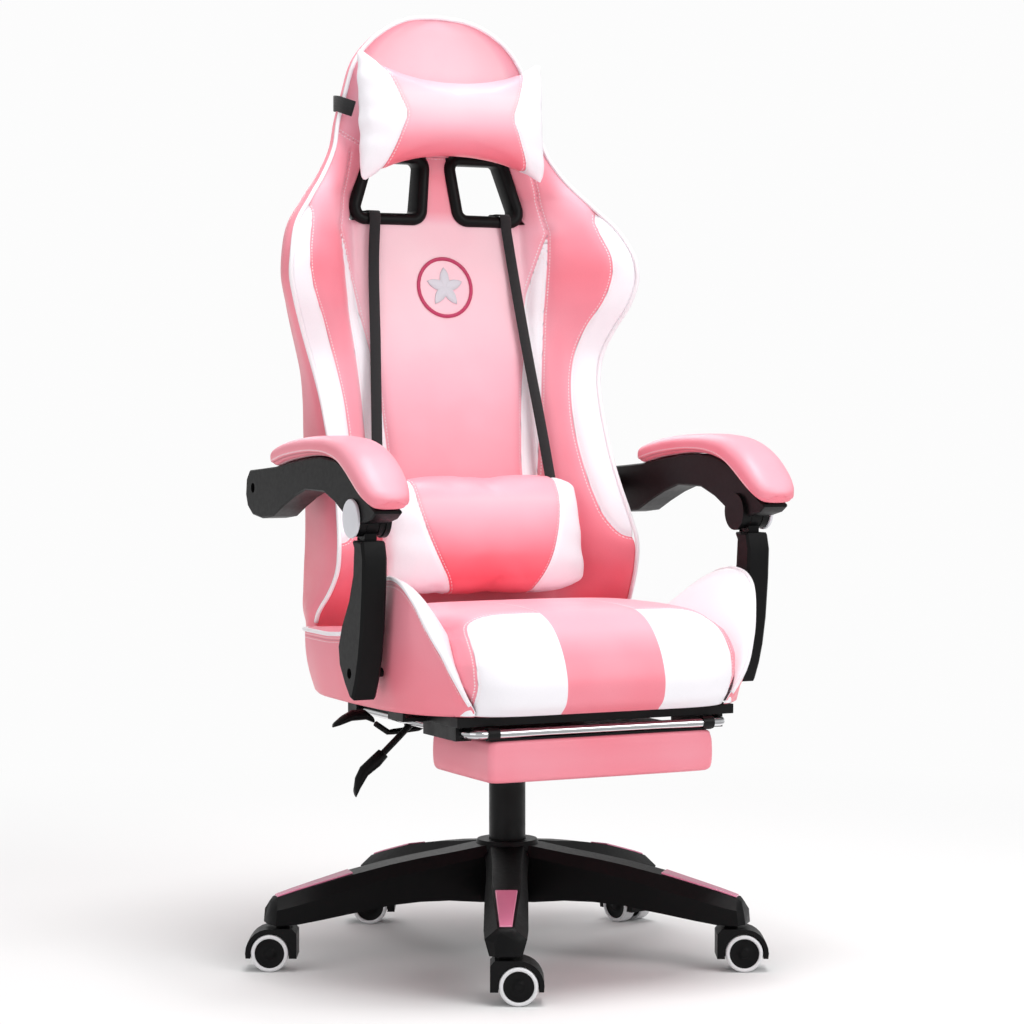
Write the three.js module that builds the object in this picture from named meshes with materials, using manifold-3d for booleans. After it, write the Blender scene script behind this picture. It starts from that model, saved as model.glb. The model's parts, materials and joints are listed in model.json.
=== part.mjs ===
// Racing-style swivel chair with linked armrests and a pull-out footrest.
// Millimetres, +Z up; the sitter faces -Y. Parts are drawn with the gas lift on the Z axis, then the
// whole chair is moved so that the origin is on the floor at the middle of its footprint.

import * as THREE from 'three';
import { mergeVertices } from 'three/addons/utils/BufferGeometryUtils.js';
import Module from 'manifold-3d';

const wasm = await Module();
wasm.setup();

// ---------- driving dimensions ----------

const GAP = 0.4;
// Middle of the floor footprint, measured from the gas lift with the casters turned as below.
const FOOTPRINT = { x: -27.1, y: 14.1 };

const CASTER = {
  count: 5,
  circle: 315,
  baseTurn: -26.3,
  trailDirections: [-26, -26, 105, 154, 154],
  wheelRadius: 25,
  trail: 16,
  webHalf: 4.6,
  wheelInner: 5.2,
  wheelOuter: 27,
  hoodHalf: 25,
  hoodRadius: 32.5,
  pocketRadius: 26.4,
  axleRadius: 4,
  stemRadius: 5.5,
  stemTop: 84,
};

const LIFT = {
  tubeRadius: 25,
  tubeInner: 22.6,
  tubeBottom: 68,
  tubeTop: 262,
  cylinderRadius: 14,
  cylinderBottom: 126,
  cylinderTop: 328,
  rodRadius: 5,
  rodTop: 201,
  pinRadius: 4,
};

const UNDERSIDE = { housingBottom: 313, panBottom: 349, panTop: 361.5, cushionBottom: 362 };
const LEVER = { barZ: 341, barHalf: 2.5 };
const RECLINE_LEVER = { x: -160, y: -45, z: 334 };

const HINGE = { y: 150, z: 408, radius: 15, pin: 6 };
const ELBOW = { y: -171, z: 610 };
const UPRIGHT_BOLT = { y: -152, z: 412 };
const ARM_REAR = { y: 185, z: 640 };
// Upright plate on each side of the seat frame, inside the cushion, that carries the armrest bolt.
const ARM_BRACKET = { inner: 230, outer: 234, y: [-176, -128] };
const ARM = { inner: 262, outer: 300, pinRadius: 7, barrel: 23, cap: 25 };

const FOOTREST = { barY: -275, barZ: 340, barRadius: 6, railX: 183, halfWidth: 162, front: -283, rear: -105 };

// ---------- materials ----------

function paint(color, roughness, metalness = 0) {
  return new THREE.MeshStandardMaterial({ color, roughness, metalness });
}

const BLACK_PLASTIC = paint(0x17171a, 0.45);
const BLACK_STEEL = paint(0x1c1c1f, 0.4, 0.6);
const CHROME = paint(0xd8dadd, 0.12, 1);
const TYRE = paint(0xcfcfd2, 0.5);
const PINK_TRIM = paint(0xd98aa8, 0.35);
const PINK_LEATHER = paint(0xf0949f, 0.45);
const PALE_LEATHER = paint(0xf7bcc6, 0.45);
const WHITE_LEATHER = paint(0xf4f0f5, 0.45);
const WEBBING = paint(0x1a1a1c, 0.8);
const GREY_CAP = paint(0xcfcfd4, 0.4);

// ---------- geometry helpers ----------

const chair = new THREE.Group();

function place(name, geometry, material) {
  const mesh = new THREE.Mesh(geometry, material);
  mesh.name = name;
  chair.add(mesh);
  return mesh;
}

function volumeOf(points, faces) {
  let total = 0;
  for (const [a, b, c] of faces) {
    const cross = new THREE.Vector3().crossVectors(points[b], points[c]);
    total += points[a].dot(cross) / 6;
  }
  return total;
}

function closedGeometry(points, faces) {
  const flip = volumeOf(points, faces) < 0;
  const index = faces.flatMap(([a, b, c]) => (flip ? [a, c, b] : [a, b, c]));
  const geometry = new THREE.BufferGeometry();
  const flat = points.flatMap((p) => [p.x, p.y, p.z]);
  geometry.setAttribute('position', new THREE.Float32BufferAttribute(flat, 3));
  geometry.setIndex(index);
  return geometry;
}

function newellNormal(ring) {
  const normal = new THREE.Vector3();
  ring.forEach((p, i) => {
    const q = ring[(i + 1) % ring.length];
    normal.x += (p.y - q.y) * (p.z + q.z);
    normal.y += (p.z - q.z) * (p.x + q.x);
    normal.z += (p.x - q.x) * (p.y + q.y);
  });
  return normal.normalize();
}

// Triangles that close a ring, wound the same way as the ring.
function capFaces(ring, offset) {
  const normal = newellNormal(ring);
  const helper = Math.abs(normal.z) < 0.9 ? new THREE.Vector3(0, 0, 1) : new THREE.Vector3(1, 0, 0);
  const u = new THREE.Vector3().crossVectors(helper, normal).normalize();
  const v = new THREE.Vector3().crossVectors(normal, u);
  const flat = ring.map((p) => new THREE.Vector2(p.dot(u), p.dot(v)));
  return THREE.ShapeUtils.triangulateShape(flat, []).map(([a, b, c]) => {
    const ab = new THREE.Vector2().subVectors(flat[b], flat[a]);
    const ac = new THREE.Vector2().subVectors(flat[c], flat[a]);
    const triangle = ab.cross(ac) > 0 ? [a, b, c] : [a, c, b];
    return triangle.map((k) => k + offset);
  });
}

// A closed skin through rings that all have the same number of points.
function loft(rings) {
  const n = rings[0].length;
  const faces = [];
  for (let i = 0; i + 1 < rings.length; i += 1) {
    for (let j = 0; j < n; j += 1) {
      const a = i * n + j;
      const b = i * n + ((j + 1) % n);
      faces.push([a, b, b + n], [a, b + n, a + n]);
    }
  }
  const last = (rings.length - 1) * n;
  const startCap = capFaces(rings[0], 0).map(([a, b, c]) => [a, c, b]);
  const endCap = capFaces(rings[rings.length - 1], last);
  return closedGeometry(rings.flat(), [...faces, ...startCap, ...endCap]);
}

function toSolid(geometry) {
  const bare = geometry.clone();
  bare.deleteAttribute('normal');
  bare.deleteAttribute('uv');
  const merged = mergeVertices(bare, 1e-3);
  const vertProperties = new Float32Array(merged.attributes.position.array);
  const triVerts = new Uint32Array(merged.index.array);
  return new wasm.Manifold(new wasm.Mesh({ numProp: 3, vertProperties, triVerts }));
}

function toGeometry(solid) {
  const mesh = solid.getMesh();
  const geometry = new THREE.BufferGeometry();
  geometry.setAttribute('position', new THREE.BufferAttribute(mesh.vertProperties, 3));
  geometry.setIndex(new THREE.BufferAttribute(mesh.triVerts, 1));
  return geometry;
}

function join(...geometries) {
  const [first, ...rest] = geometries.map(toSolid);
  return toGeometry(rest.reduce((whole, piece) => whole.add(piece), first));
}

function cut(geometry, ...tools) {
  const start = toSolid(geometry);
  return toGeometry(tools.map(toSolid).reduce((whole, tool) => whole.subtract(tool), start));
}

function box(xRange, yRange, zRange) {
  const size = [xRange, yRange, zRange].map(([low, high]) => high - low);
  const centre = [xRange, yRange, zRange].map(([low, high]) => (low + high) / 2);
  return new THREE.BoxGeometry(...size).translate(...centre);
}

function cylinderZ(radius, low, high, sides = 24, x = 0, y = 0) {
  const geometry = new THREE.CylinderGeometry(radius, radius, high - low, sides);
  return geometry.rotateX(Math.PI / 2).translate(x, y, (low + high) / 2);
}

function cylinderX(radius, xRange, y, z, sides = 20) {
  const [low, high] = xRange;
  const geometry = new THREE.CylinderGeometry(radius, radius, Math.abs(high - low), sides);
  return geometry.rotateZ(Math.PI / 2).translate((low + high) / 2, y, z);
}

function cylinderY(radius, yRange, x, z, sides = 16) {
  const [low, high] = yRange;
  return new THREE.CylinderGeometry(radius, radius, high - low, sides).translate(x, (low + high) / 2, z);
}

function latheZ(profile, sides = 24) {
  const points = profile.map(([r, z]) => new THREE.Vector2(r, z));
  return new THREE.LatheGeometry(points, sides).rotateX(Math.PI / 2);
}

function shapeOf(points) {
  return new THREE.Shape(points.map(([a, b]) => new THREE.Vector2(a, b)));
}

// An outline in (y, z) carried along X, with an optional bevel inside the given range.
function plateX(outline, [low, high], bevel = 0) {
  const shape = Array.isArray(outline) ? shapeOf(outline) : outline;
  const options = { depth: high - low - 2 * bevel, steps: 1, curveSegments: 6, bevelEnabled: bevel > 0 };
  Object.assign(options, { bevelSize: bevel, bevelThickness: bevel, bevelOffset: -bevel, bevelSegments: 1 });
  const geometry = new THREE.ExtrudeGeometry(shape, options).translate(0, 0, low + bevel);
  const basis = new THREE.Matrix4().makeBasis(
    new THREE.Vector3(0, 1, 0),
    new THREE.Vector3(0, 0, 1),
    new THREE.Vector3(1, 0, 0),
  );
  return geometry.applyMatrix4(basis);
}

function mirrorX(geometry) {
  const mirrored = geometry.index ? geometry.clone() : mergeVertices(stripped(geometry), 1e-3);
  mirrored.scale(-1, 1, 1);
  const index = mirrored.index.array;
  for (let i = 0; i < index.length; i += 3) {
    [index[i + 1], index[i + 2]] = [index[i + 2], index[i + 1]];
  }
  return mirrored;
}

function stripped(geometry) {
  const bare = geometry.clone();
  bare.deleteAttribute('normal');
  bare.deleteAttribute('uv');
  return bare;
}

// The sitter's left is +X. Places a piece built on the +X side and its mirror image.
function placePair(name, geometry, material) {
  place(`${name}_left`, geometry, material);
  place(`${name}_right`, mirrorX(geometry), material);
}

function tube(points, radius, steps, sides = 10) {
  const path = new THREE.CatmullRomCurve3(points.map((p) => new THREE.Vector3(...p)), false, 'catmullrom', 0);
  const section = new THREE.Shape();
  for (let k = 0; k < sides; k += 1) {
    const angle = (2 * Math.PI * k) / sides;
    const x = radius * Math.cos(angle);
    const y = radius * Math.sin(angle);
    if (k === 0) section.moveTo(x, y);
    else section.lineTo(x, y);
  }
  return new THREE.ExtrudeGeometry(section, { steps, extrudePath: path, bevelEnabled: false });
}

function mirroredRing(half, z) {
  const left = half.map(([x, y]) => new THREE.Vector3(x, y, z));
  const right = half.filter(([x]) => x > 0).reverse().map(([x, y]) => new THREE.Vector3(-x, y, z));
  return [...left, ...right];
}

// ---------- star base ----------

// One leg section: radius at top, waist and bottom, their heights, and their half widths.
const LEG_SECTIONS = [
  { r: [0, 0, 0], z: [160, 147, 77], w: [20, 26, 20] },
  { r: [45, 45, 45], z: [155, 141, 79], w: [22, 30, 24] },
  { r: [89, 89, 89], z: [148, 133, 83], w: [20, 28, 22] },
  { r: [130, 130, 130], z: [142.5, 126, 83.5], w: [19, 27.5, 22] },
  { r: [172, 172, 172], z: [135.5, 119, 81], w: [19, 28, 22.5] },
  { r: [203, 203, 203], z: [129, 112, 76], w: [19, 28.5, 23] },
  { r: [222, 222, 222], z: [125, 107, 73.5], w: [18.5, 28.5, 23] },
  { r: [270, 270, 270], z: [112.5, 96, 66], w: [15, 28.5, 22.5] },
  { r: [300, 300, 300], z: [104.5, 89, 62], w: [12.5, 28.5, 22.5] },
  { r: [326, 329, 330], z: [96.8, 83, 62], w: [10.5, 27, 21] },
  { r: [331, 336, 338], z: [92, 80, 63], w: [7, 15, 13] },
];

function legDirection(k) {
  const angle = THREE.MathUtils.degToRad(CASTER.baseTurn + (360 / CASTER.count) * k);
  return { angle, x: Math.sin(angle), y: -Math.cos(angle) };
}

// Turns a piece built along -Y to leg k.
function turnToLeg(geometry, k) {
  return geometry.rotateZ(legDirection(k).angle);
}

function legSection({ r, z, w }) {
  const at = (side, level) => new THREE.Vector3(side * w[level], -r[level], z[level]);
  return [at(-1, 0), at(1, 0), at(1, 1), at(1, 2), at(-1, 2), at(-1, 1)];
}

function starBase() {
  const hub = latheZ([[0, 77], [36, 77], [42, 92], [45, 150], [41, 161], [0, 161]], 30);
  const legs = [];
  const bores = [cylinderZ(LIFT.tubeRadius + GAP, 60, 180, 30)];
  for (let k = 0; k < CASTER.count; k += 1) {
    legs.push(turnToLeg(loft(LEG_SECTIONS.map(legSection)), k));
    bores.push(turnToLeg(cylinderZ(CASTER.stemRadius + 0.7, 50, CASTER.stemTop + 1, 12, 0, -CASTER.circle), k));
  }
  return cut(join(hub, ...legs), ...bores);
}

function legTrim() {
  const stations = [[222, 125, 15], [270, 112.5, 12], [300, 104.5, 10], [324, 97.4, 8.5]];
  const rise = 2.2;
  const rings = stations.map(([r, top, w]) => [
    new THREE.Vector3(-w, -r, top + GAP),
    new THREE.Vector3(w, -r, top + GAP),
    new THREE.Vector3(w - 1, -r, top + GAP + rise),
    new THREE.Vector3(1 - w, -r, top + GAP + rise),
  ]);
  return loft(rings);
}

// ---------- casters ----------

// Built with the swivel axis on Z at the origin and the wheels trailing toward +X.
function casterFork() {
  const c = CASTER;
  const arc = [];
  const arcSteps = 8;
  for (let i = 0; i <= arcSteps; i += 1) {
    const a = THREE.MathUtils.degToRad(90 - (i * 102) / arcSteps);
    arc.push([c.trail + c.hoodRadius * Math.cos(a), c.wheelRadius + c.hoodRadius * Math.sin(a)]);
  }
  const outline = [[-20, 18], [-20, 51], [-14, 57.5], ...arc];
  const hood = new THREE.ExtrudeGeometry(shapeOf(outline), { depth: 2 * c.hoodHalf, bevelEnabled: false });
  hood.translate(0, 0, -c.hoodHalf).rotateX(Math.PI / 2);
  const pocketA = cylinderY(c.pocketRadius, [c.webHalf, c.hoodHalf + 1], c.trail, c.wheelRadius, 24);
  const pocketB = cylinderY(c.pocketRadius, [-c.hoodHalf - 1, -c.webHalf], c.trail, c.wheelRadius, 24);
  const collar = cylinderZ(9, 56, 61.3, 16);
  const stem = cylinderZ(c.stemRadius, 56, c.stemTop, 12);
  const axle = cylinderY(c.axleRadius, [-22, 22], c.trail, c.wheelRadius, 12);
  return join(cut(hood, pocketA, pocketB), collar, stem, axle);
}

// A wheel on the +Y side of the fork; its blind bore faces the fork.
function casterWheel() {
  const c = CASTER;
  const r = c.wheelRadius;
  const bore = c.axleRadius + 0.6;
  const profile = [[0, 23], [bore, 23], [bore, c.wheelInner], [r - 3, c.wheelInner], [r, 8]];
  profile.push([r, 24], [r - 2, 26.4], [r - 7, c.wheelOuter], [0, c.wheelOuter]);
  const points = profile.map(([radius, y]) => new THREE.Vector2(radius, y));
  return new THREE.LatheGeometry(points, 20).translate(c.trail, 0, 0);
}

function placeCasters() {
  for (let k = 0; k < CASTER.count; k += 1) {
    const { x, y } = legDirection(k);
    const trailTurn = THREE.MathUtils.degToRad(CASTER.trailDirections[k]);
    const settle = (geometry, z) => geometry.rotateZ(trailTurn).translate(x * CASTER.circle, y * CASTER.circle, z);
    place(`caster_${k + 1}_fork`, settle(casterFork(), 0), BLACK_PLASTIC);
    place(`caster_${k + 1}_wheel_a`, settle(casterWheel(), CASTER.wheelRadius), TYRE);
    place(`caster_${k + 1}_wheel_b`, settle(casterWheel().rotateX(Math.PI), CASTER.wheelRadius), TYRE);
  }
}

// ---------- gas lift ----------

function liftTube() {
  const { tubeRadius: outer, tubeInner: inner, tubeBottom: low, tubeTop: high } = LIFT;
  const clip = LIFT.rodRadius + 0.5;
  const profile = [[clip, low], [outer, low], [outer, high], [inner, high], [inner, low + 5], [clip, low + 5]];
  return latheZ([...profile, profile[0]], 30);
}

function guideBush() {
  const inner = LIFT.cylinderRadius + 0.5;
  const outer = LIFT.tubeInner - GAP;
  const top = LIFT.tubeTop;
  const rim = [[LIFT.tubeRadius, top + GAP], [LIFT.tubeRadius - 1, top + 3], [inner, top + 3]];
  const profile = [[inner, top - 70], [outer, top - 70], [outer, top + GAP], ...rim];
  return latheZ([...profile, profile[0]], 30);
}

function liftCylinder() {
  const { cylinderRadius: radius, cylinderBottom: low, cylinderTop: high } = LIFT;
  const body = cylinderZ(radius, low, high, 24);
  const rodBore = cylinderZ(LIFT.rodRadius + 0.5, low - 1, LIFT.rodTop + 50, 16);
  const pinBore = cylinderZ(LIFT.pinRadius + 0.5, high - 38, high + 1, 16);
  return cut(body, rodBore, pinBore);
}

function pistonRod() {
  return cylinderZ(LIFT.rodRadius, LIFT.tubeBottom + 1, LIFT.rodTop, 16);
}

// ---------- mechanism, seat frame and levers ----------

function mechanismHousing() {
  const { housingBottom: low, panBottom: high } = UNDERSIDE;
  const outline = [[-95, high - 8], [-95, high - GAP], [100, high - GAP], [100, high - 10], [60, low]];
  outline.push([-55, low]);
  const block = plateX(outline, [-75, 75], 2);
  const liftBore = cylinderZ(LIFT.cylinderRadius + 0.5, low - 5, LIFT.cylinderTop + 4, 24);
  const leverSlot = box([-90, 9], [-6, 6], [LEVER.barZ - 11, high + 5]);
  return cut(block, liftBore, leverSlot);
}

function hingeOutline() {
  const { y, z, radius } = HINGE;
  const shape = new THREE.Shape();
  shape.moveTo(70, UNDERSIDE.panBottom + 0.5);
  shape.lineTo(128, UNDERSIDE.panBottom + 0.5);
  shape.lineTo(y + radius, z - 6);
  shape.absarc(y, z, radius, -0.4, Math.PI, false);
  shape.lineTo(117, 372);
  shape.lineTo(114.5, UNDERSIDE.panTop - 0.5);
  shape.lineTo(70, UNDERSIDE.panTop - 0.5);
  return shape;
}

// The pan, with hinge plates for the back, upright brackets with the armrest bolts, and the lever lug.
function seatPan() {
  const { panBottom: low, panTop: high } = UNDERSIDE;
  const bolt = UPRIGHT_BOLT;
  const pieces = [box([-200, 200], [-268, 108], [low, high])];
  for (const side of [-1, 1]) {
    const span = (a, b) => [Math.min(side * a, side * b), Math.max(side * a, side * b)];
    pieces.push(plateX(hingeOutline(), span(186, 192)));
    pieces.push(cylinderX(HINGE.pin, span(188, 201), HINGE.y, HINGE.z, 16));
    pieces.push(box(span(190, ARM_BRACKET.outer), ARM_BRACKET.y, [low, low + 5]));
    pieces.push(box(span(ARM_BRACKET.inner, ARM_BRACKET.outer), ARM_BRACKET.y, [low, bolt.z + 16]));
    pieces.push(cylinderX(HINGE.pin, span(ARM_BRACKET.inner, 292), bolt.y, bolt.z, 16));
  }
  const lever = RECLINE_LEVER;
  pieces.push(box([lever.x - 5, lever.x + 5], [lever.y + 9, lever.y + 21], [lever.z - 8, low + 2]));
  pieces.push(cylinderY(4, [lever.y - 7, lever.y + 15], lever.x, lever.z, 12));
  return join(...pieces);
}

function heightLever() {
  const z = LEVER.barZ;
  const bar = box([-92, 1], [-4, 4], [z - LEVER.barHalf, z + LEVER.barHalf]);
  const stalk = [[-85, 0, z], [-105, 0, z - 3], [-130, -1, z - 22], [-180, -6, z - 25], [-200, -9, z - 12]];
  return join(bar, tube(stalk, 4, 16, 8));
}

// A grip that swells and flattens toward its tip, lofted through centre points.
function grip(stations) {
  const sides = 10;
  return loft(stations.map(([x, y, z, tiltDegrees, halfWidth, halfHeight]) => {
    const tilt = THREE.MathUtils.degToRad(tiltDegrees);
    const ring = [];
    for (let k = 0; k < sides; k += 1) {
      const angle = (2 * Math.PI * k) / sides;
      const across = halfHeight * Math.sin(angle);
      ring.push(new THREE.Vector3(
        x + across * Math.sin(tilt),
        y + halfWidth * Math.cos(angle),
        z + across * Math.cos(tilt),
      ));
    }
    return ring;
  }));
}

function heightGrip() {
  const z = LEVER.barZ;
  return grip([
    [-204, -9, z - 6, -15, 7, 5],
    [-216, -11, z + 1, -8, 9, 7],
    [-236, -13, z + 1, 8, 10, 7.5],
    [-252, -14, z - 5, 20, 9, 7],
    [-262, -14, z - 10, 24, 5, 4],
  ]);
}

function leverStalk() {
  const { x, y, z } = RECLINE_LEVER;
  const eye = cut(cylinderY(9, [y - 5, y + 5], x, z, 16), cylinderY(4.6, [y - 9, y + 9], x, z, 12));
  const arm = grip([
    [x - 6, y, z - 5, -48, 4.5, 4.5],
    [x - 24, y, z - 22, -48, 4.5, 4.5],
    [x - 44, y, z - 40, -48, 4.5, 4.5],
  ]);
  return join(eye, cut(arm, cylinderY(4.6, [y - 9, y + 9], x, z, 12)));
}

function reclineGrip() {
  const { x, y, z } = RECLINE_LEVER;
  return grip([
    [x - 44.5, y, z - 40.5, -48, 7, 8],
    [x - 56, y, z - 51, -46, 7.5, 9],
    [x - 72, y, z - 63, -40, 7, 8],
    [x - 81, y, z - 78, -25, 7, 8],
    [x - 85, y, z - 91, -14, 5, 6],
  ]);
}

function releasePin() {
  return cylinderZ(LIFT.pinRadius, LIFT.cylinderTop - 28, LEVER.barZ - LEVER.barHalf - GAP, 12);
}

// ---------- footrest ----------

// A guide at each end of the slide, joined by a strip under the pan.
function footrestRail() {
  const { railX, barZ, barRadius } = FOOTREST;
  const top = UNDERSIDE.panBottom - GAP;
  const channel = box([railX - 11, railX + 11], [-250, 100], [barZ - 10, top]);
  const open = box([railX - 20, railX + 20], [-150, 70], [barZ - 20, barZ + barRadius + 0.7]);
  return cut(channel, cylinderY(barRadius + 0.7, [-260, 110], railX, barZ, 12), open);
}

// A U of round bar, lofted along its two legs and the two bends of its front corners.
function footrestBar() {
  const { railX, barY, barZ, barRadius } = FOOTREST;
  const bend = 16;
  const sides = 12;
  const stops = [[railX, 95, 0]];
  for (const side of [1, -1]) {
    for (let i = 0; i <= 5; i += 1) {
      const turn = ((side > 0 ? 0 : 5) + i) * (Math.PI / 10);
      stops.push([
        side * (railX - bend) + bend * Math.cos(turn),
        barY + bend - bend * Math.sin(turn),
        turn,
      ]);
    }
  }
  stops.push([-railX, 95, Math.PI]);
  return loft(stops.map(([x, y, turn]) => {
    const ring = [];
    for (let k = 0; k < sides; k += 1) {
      const angle = (2 * Math.PI * k) / sides;
      const out = barRadius * Math.cos(angle);
      const up = barRadius * Math.sin(angle);
      ring.push(new THREE.Vector3(x + out * Math.cos(turn), y - out * Math.sin(turn), barZ + up));
    }
    return ring;
  }));
}

function footrestHinge() {
  const { barY, barZ, barRadius } = FOOTREST;
  const padTop = barZ - 9;
  const plate = box([-160, 160], [barY - 4, barY + 60], [padTop + GAP, padTop + 2.4]);
  const rings = [-155, 155].map((x) => cylinderX(barRadius + 2.6, [x - 8, x + 8], barY, barZ, 16));
  const bores = [-155, 155].map((x) => cylinderX(barRadius + 0.7, [x - 11, x + 11], barY, barZ, 12));
  return cut(join(plate, ...rings), ...bores);
}

function roundedBox(halfWidth, yRange, zRange, corner, edge) {
  const plan = (inset, z) => {
    const x = halfWidth - inset;
    const [front, rear] = [yRange[0] + inset, yRange[1] - inset];
    const r = corner;
    const half = [[0, front], [x - r, front], [x - 0.3 * r, front + 0.3 * r], [x, front + r]];
    half.push([x, rear - r], [x - 0.3 * r, rear - 0.3 * r], [x - r, rear], [0, rear]);
    return mirroredRing(half, z);
  };
  const [low, high] = zRange;
  const e = edge;
  return loft([
    plan(e, low),
    plan(0.3 * e, low + 0.3 * e),
    plan(0, low + e),
    plan(0, high - e),
    plan(0.3 * e, high - 0.3 * e),
    plan(e, high),
  ]);
}

function footrestPad() {
  const { halfWidth, front, rear, barZ } = FOOTREST;
  return roundedBox(halfWidth, [front, rear], [277, barZ - 9], 14, 10);
}

// ---------- seat upholstery ----------

// Plan outline of the seat block at one height: front centre, front corner, sides, rear.
function seatPlan(z, frontY, cornerX, cornerY, sideX, rearY) {
  const half = [[0, frontY], [cornerX * 0.55, frontY + 3], [cornerX - 12, cornerY - 12], [cornerX, cornerY]];
  half.push([(cornerX + sideX) / 2 + 6, cornerY + 55], [sideX, -110], [sideX, rearY - 24]);
  half.push([sideX - 24, rearY], [0, rearY]);
  return mirroredRing(half, z);
}

function cushionTop(z, half, frontY, rearY) {
  const outline = [[0, frontY], [half * 0.55, frontY + 2], [half - 8, frontY + 8], [half, frontY + 26]];
  outline.push([half, -190], [half, -110], [half, rearY - 30], [half - 12, rearY], [0, rearY]);
  return mirroredRing(outline, z);
}

function seatCushion() {
  const block = loft([
    seatPlan(UNDERSIDE.cushionBottom, -292, 178, -272, 240, 104),
    seatPlan(370, -306, 184, -278, 250, 111),
    seatPlan(400, -316, 202, -277, 256, 113),
    seatPlan(432, -314, 216, -269, 257, 112),
    seatPlan(447, -308, 222, -263, 254, 110),
    cushionTop(448, 187, -306, 104),
    cushionTop(466, 185, -290, 90),
    cushionTop(481, 180, -264, 66),
    cushionTop(488, 160, -220, 36),
  ]);
  const { inner, outer, y } = ARM_BRACKET;
  const slotY = [y[0] - GAP, y[1] + GAP];
  const tools = [-1, 1].flatMap((side) => {
    const span = (a, b) => [Math.min(side * a, side * b), Math.max(side * a, side * b)];
    return [
      box(span(inner - GAP, outer + GAP), slotY, [UNDERSIDE.panBottom, UPRIGHT_BOLT.z + 16 + GAP]),
      cylinderX(HINGE.pin + 0.7, span(inner, 270), UPRIGHT_BOLT.y, UPRIGHT_BOLT.z, 16),
    ];
  });
  return cut(block, ...tools);
}

function seatBolster() {
  const base = 448.5;
  const section = ([y, top, outer, inner]) => {
    const h = top - base;
    const half = (inner + outer) / 2;
    const profile = [[inner, base], [outer - 3, base], [outer, base + 0.2 * h], [outer - 3, base + 0.8 * h]];
    profile.push([outer - 10, top], [half, base + 0.97 * h], [inner + 8, base + 0.6 * h]);
    return profile.map(([x, z]) => new THREE.Vector3(x, y, z));
  };
  const stations = [
    [-56, 456, 252, 196],
    [-80, 494, 254, 192],
    [-111, 519, 255, 190],
    [-150, 530, 255, 190],
    [-185, 533, 253, 190],
    [-210, 526, 248, 190],
    [-230, 508, 240, 191],
    [-245, 480, 232, 192],
    [-254, 458, 227, 196],
  ];
  return loft(stations.map(section));
}

// ---------- backrest ----------

// Height, half width at the front edge, front edge y, centre front y, rear half width, rear y.
const BACK_STATIONS = [
  [447, 238, 116, 120, 218, 200],
  [470, 241, 97, 114, 222, 206],
  [500, 235, 70, 117, 222, 207],
  [530, 231, 52, 124, 221, 208],
  [560, 230, 48, 132, 218, 212],
  [600, 225, 62, 143, 214, 220],
  [640, 220, 82, 153, 212, 226],
  [680, 217, 102, 163, 212, 228],
  [720, 217, 121, 170, 212, 229],
  [760, 218, 138, 177, 212, 230],
  [800, 223, 152, 184, 215, 231],
  [830, 231, 155, 189, 221, 232],
  [860, 243, 147, 195, 228, 233],
  [900, 261, 128, 203, 236, 235],
  [930, 269, 122, 208, 240, 236],
  [960, 267, 123, 214, 240, 238],
  [1000, 253, 143, 221, 232, 240],
  [1040, 221, 170, 228, 208, 243],
  [1080, 188, 196, 234, 178, 246],
  [1115, 168, 211, 237, 160, 249],
  [1150, 159, 220, 238, 150, 252],
  [1190, 147, 223, 238, 138, 254],
  [1240, 130, 223, 237, 120, 254],
  [1270, 105, 221, 236, 95, 253],
  [1290, 74, 223, 235, 66, 251],
  [1303, 34, 229, 236, 30, 247],
];

function backRing([z, edgeX, edgeY, centreY, rearX, rearY]) {
  const panel = Math.min(105, 0.6 * edgeX);
  const bulge = z > 700 ? 15 : 13;
  const half = [
    [0, centreY],
    [panel, centreY - 1],
    [panel + 0.25 * (edgeX - panel), centreY - 1 - 0.12 * (centreY - edgeY)],
    [edgeX - 8, edgeY],
    [edgeX, edgeY + 8],
    [rearX + 2, Math.max(edgeY + 10, rearY - 14)],
    [rearX - 16, rearY],
    [0.5 * rearX, rearY + 0.75 * bulge],
    [0, rearY + bulge],
  ];
  return mirroredRing(half, z);
}

const BEZEL = { low: 1026, high: 1098, inner: [37, 28], outer: [122, 97], band: 15, frontY: 221, rearY: 264 };

// Outline of a headrest opening in (x, z), grown outward by `grow`, with cut corners.
function bezelOutline(grow, corner) {
  const { low, high, inner, outer } = BEZEL;
  const corners = [
    [inner[0] - grow, low - grow],
    [outer[0] + grow, low - grow],
    [outer[1] + grow, high + grow],
    [inner[1] - grow, high + grow],
  ];
  return corners.flatMap((p, i) => {
    const toward = (q) => {
      const length = Math.hypot(q[0] - p[0], q[1] - p[1]);
      return [p[0] + ((q[0] - p[0]) * corner) / length, p[1] + ((q[1] - p[1]) * corner) / length];
    };
    return [toward(corners[(i + 3) % 4]), toward(corners[(i + 1) % 4])];
  });
}

// Carries an (x, z) outline along Y; `lean` moves the top rearward with the backrest.
function throughPrism(outline, yRange, lean = 0.15) {
  const ringAt = (y) => outline.map(([x, z]) => new THREE.Vector3(x, y + lean * (z - BEZEL.low), z));
  return loft([ringAt(yRange[0]), ringAt(yRange[1])]);
}

function bezel() {
  const ring = throughPrism(bezelOutline(BEZEL.band, 12), [BEZEL.frontY, BEZEL.rearY]);
  return cut(ring, throughPrism(bezelOutline(0, 5), [BEZEL.frontY - 20, BEZEL.rearY + 20]));
}

function backUpholstery() {
  const opening = throughPrism(bezelOutline(BEZEL.band + GAP, 12), [150, 320]);
  const tools = [opening, mirrorX(opening)];
  for (const side of [-1, 1]) {
    tools.push(cylinderX(12.6, side < 0 ? [-250, -199] : [199, 250], ARM_REAR.y, ARM_REAR.z, 20));
  }
  return cut(loft(BACK_STATIONS.map(backRing)), ...tools);
}

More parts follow.
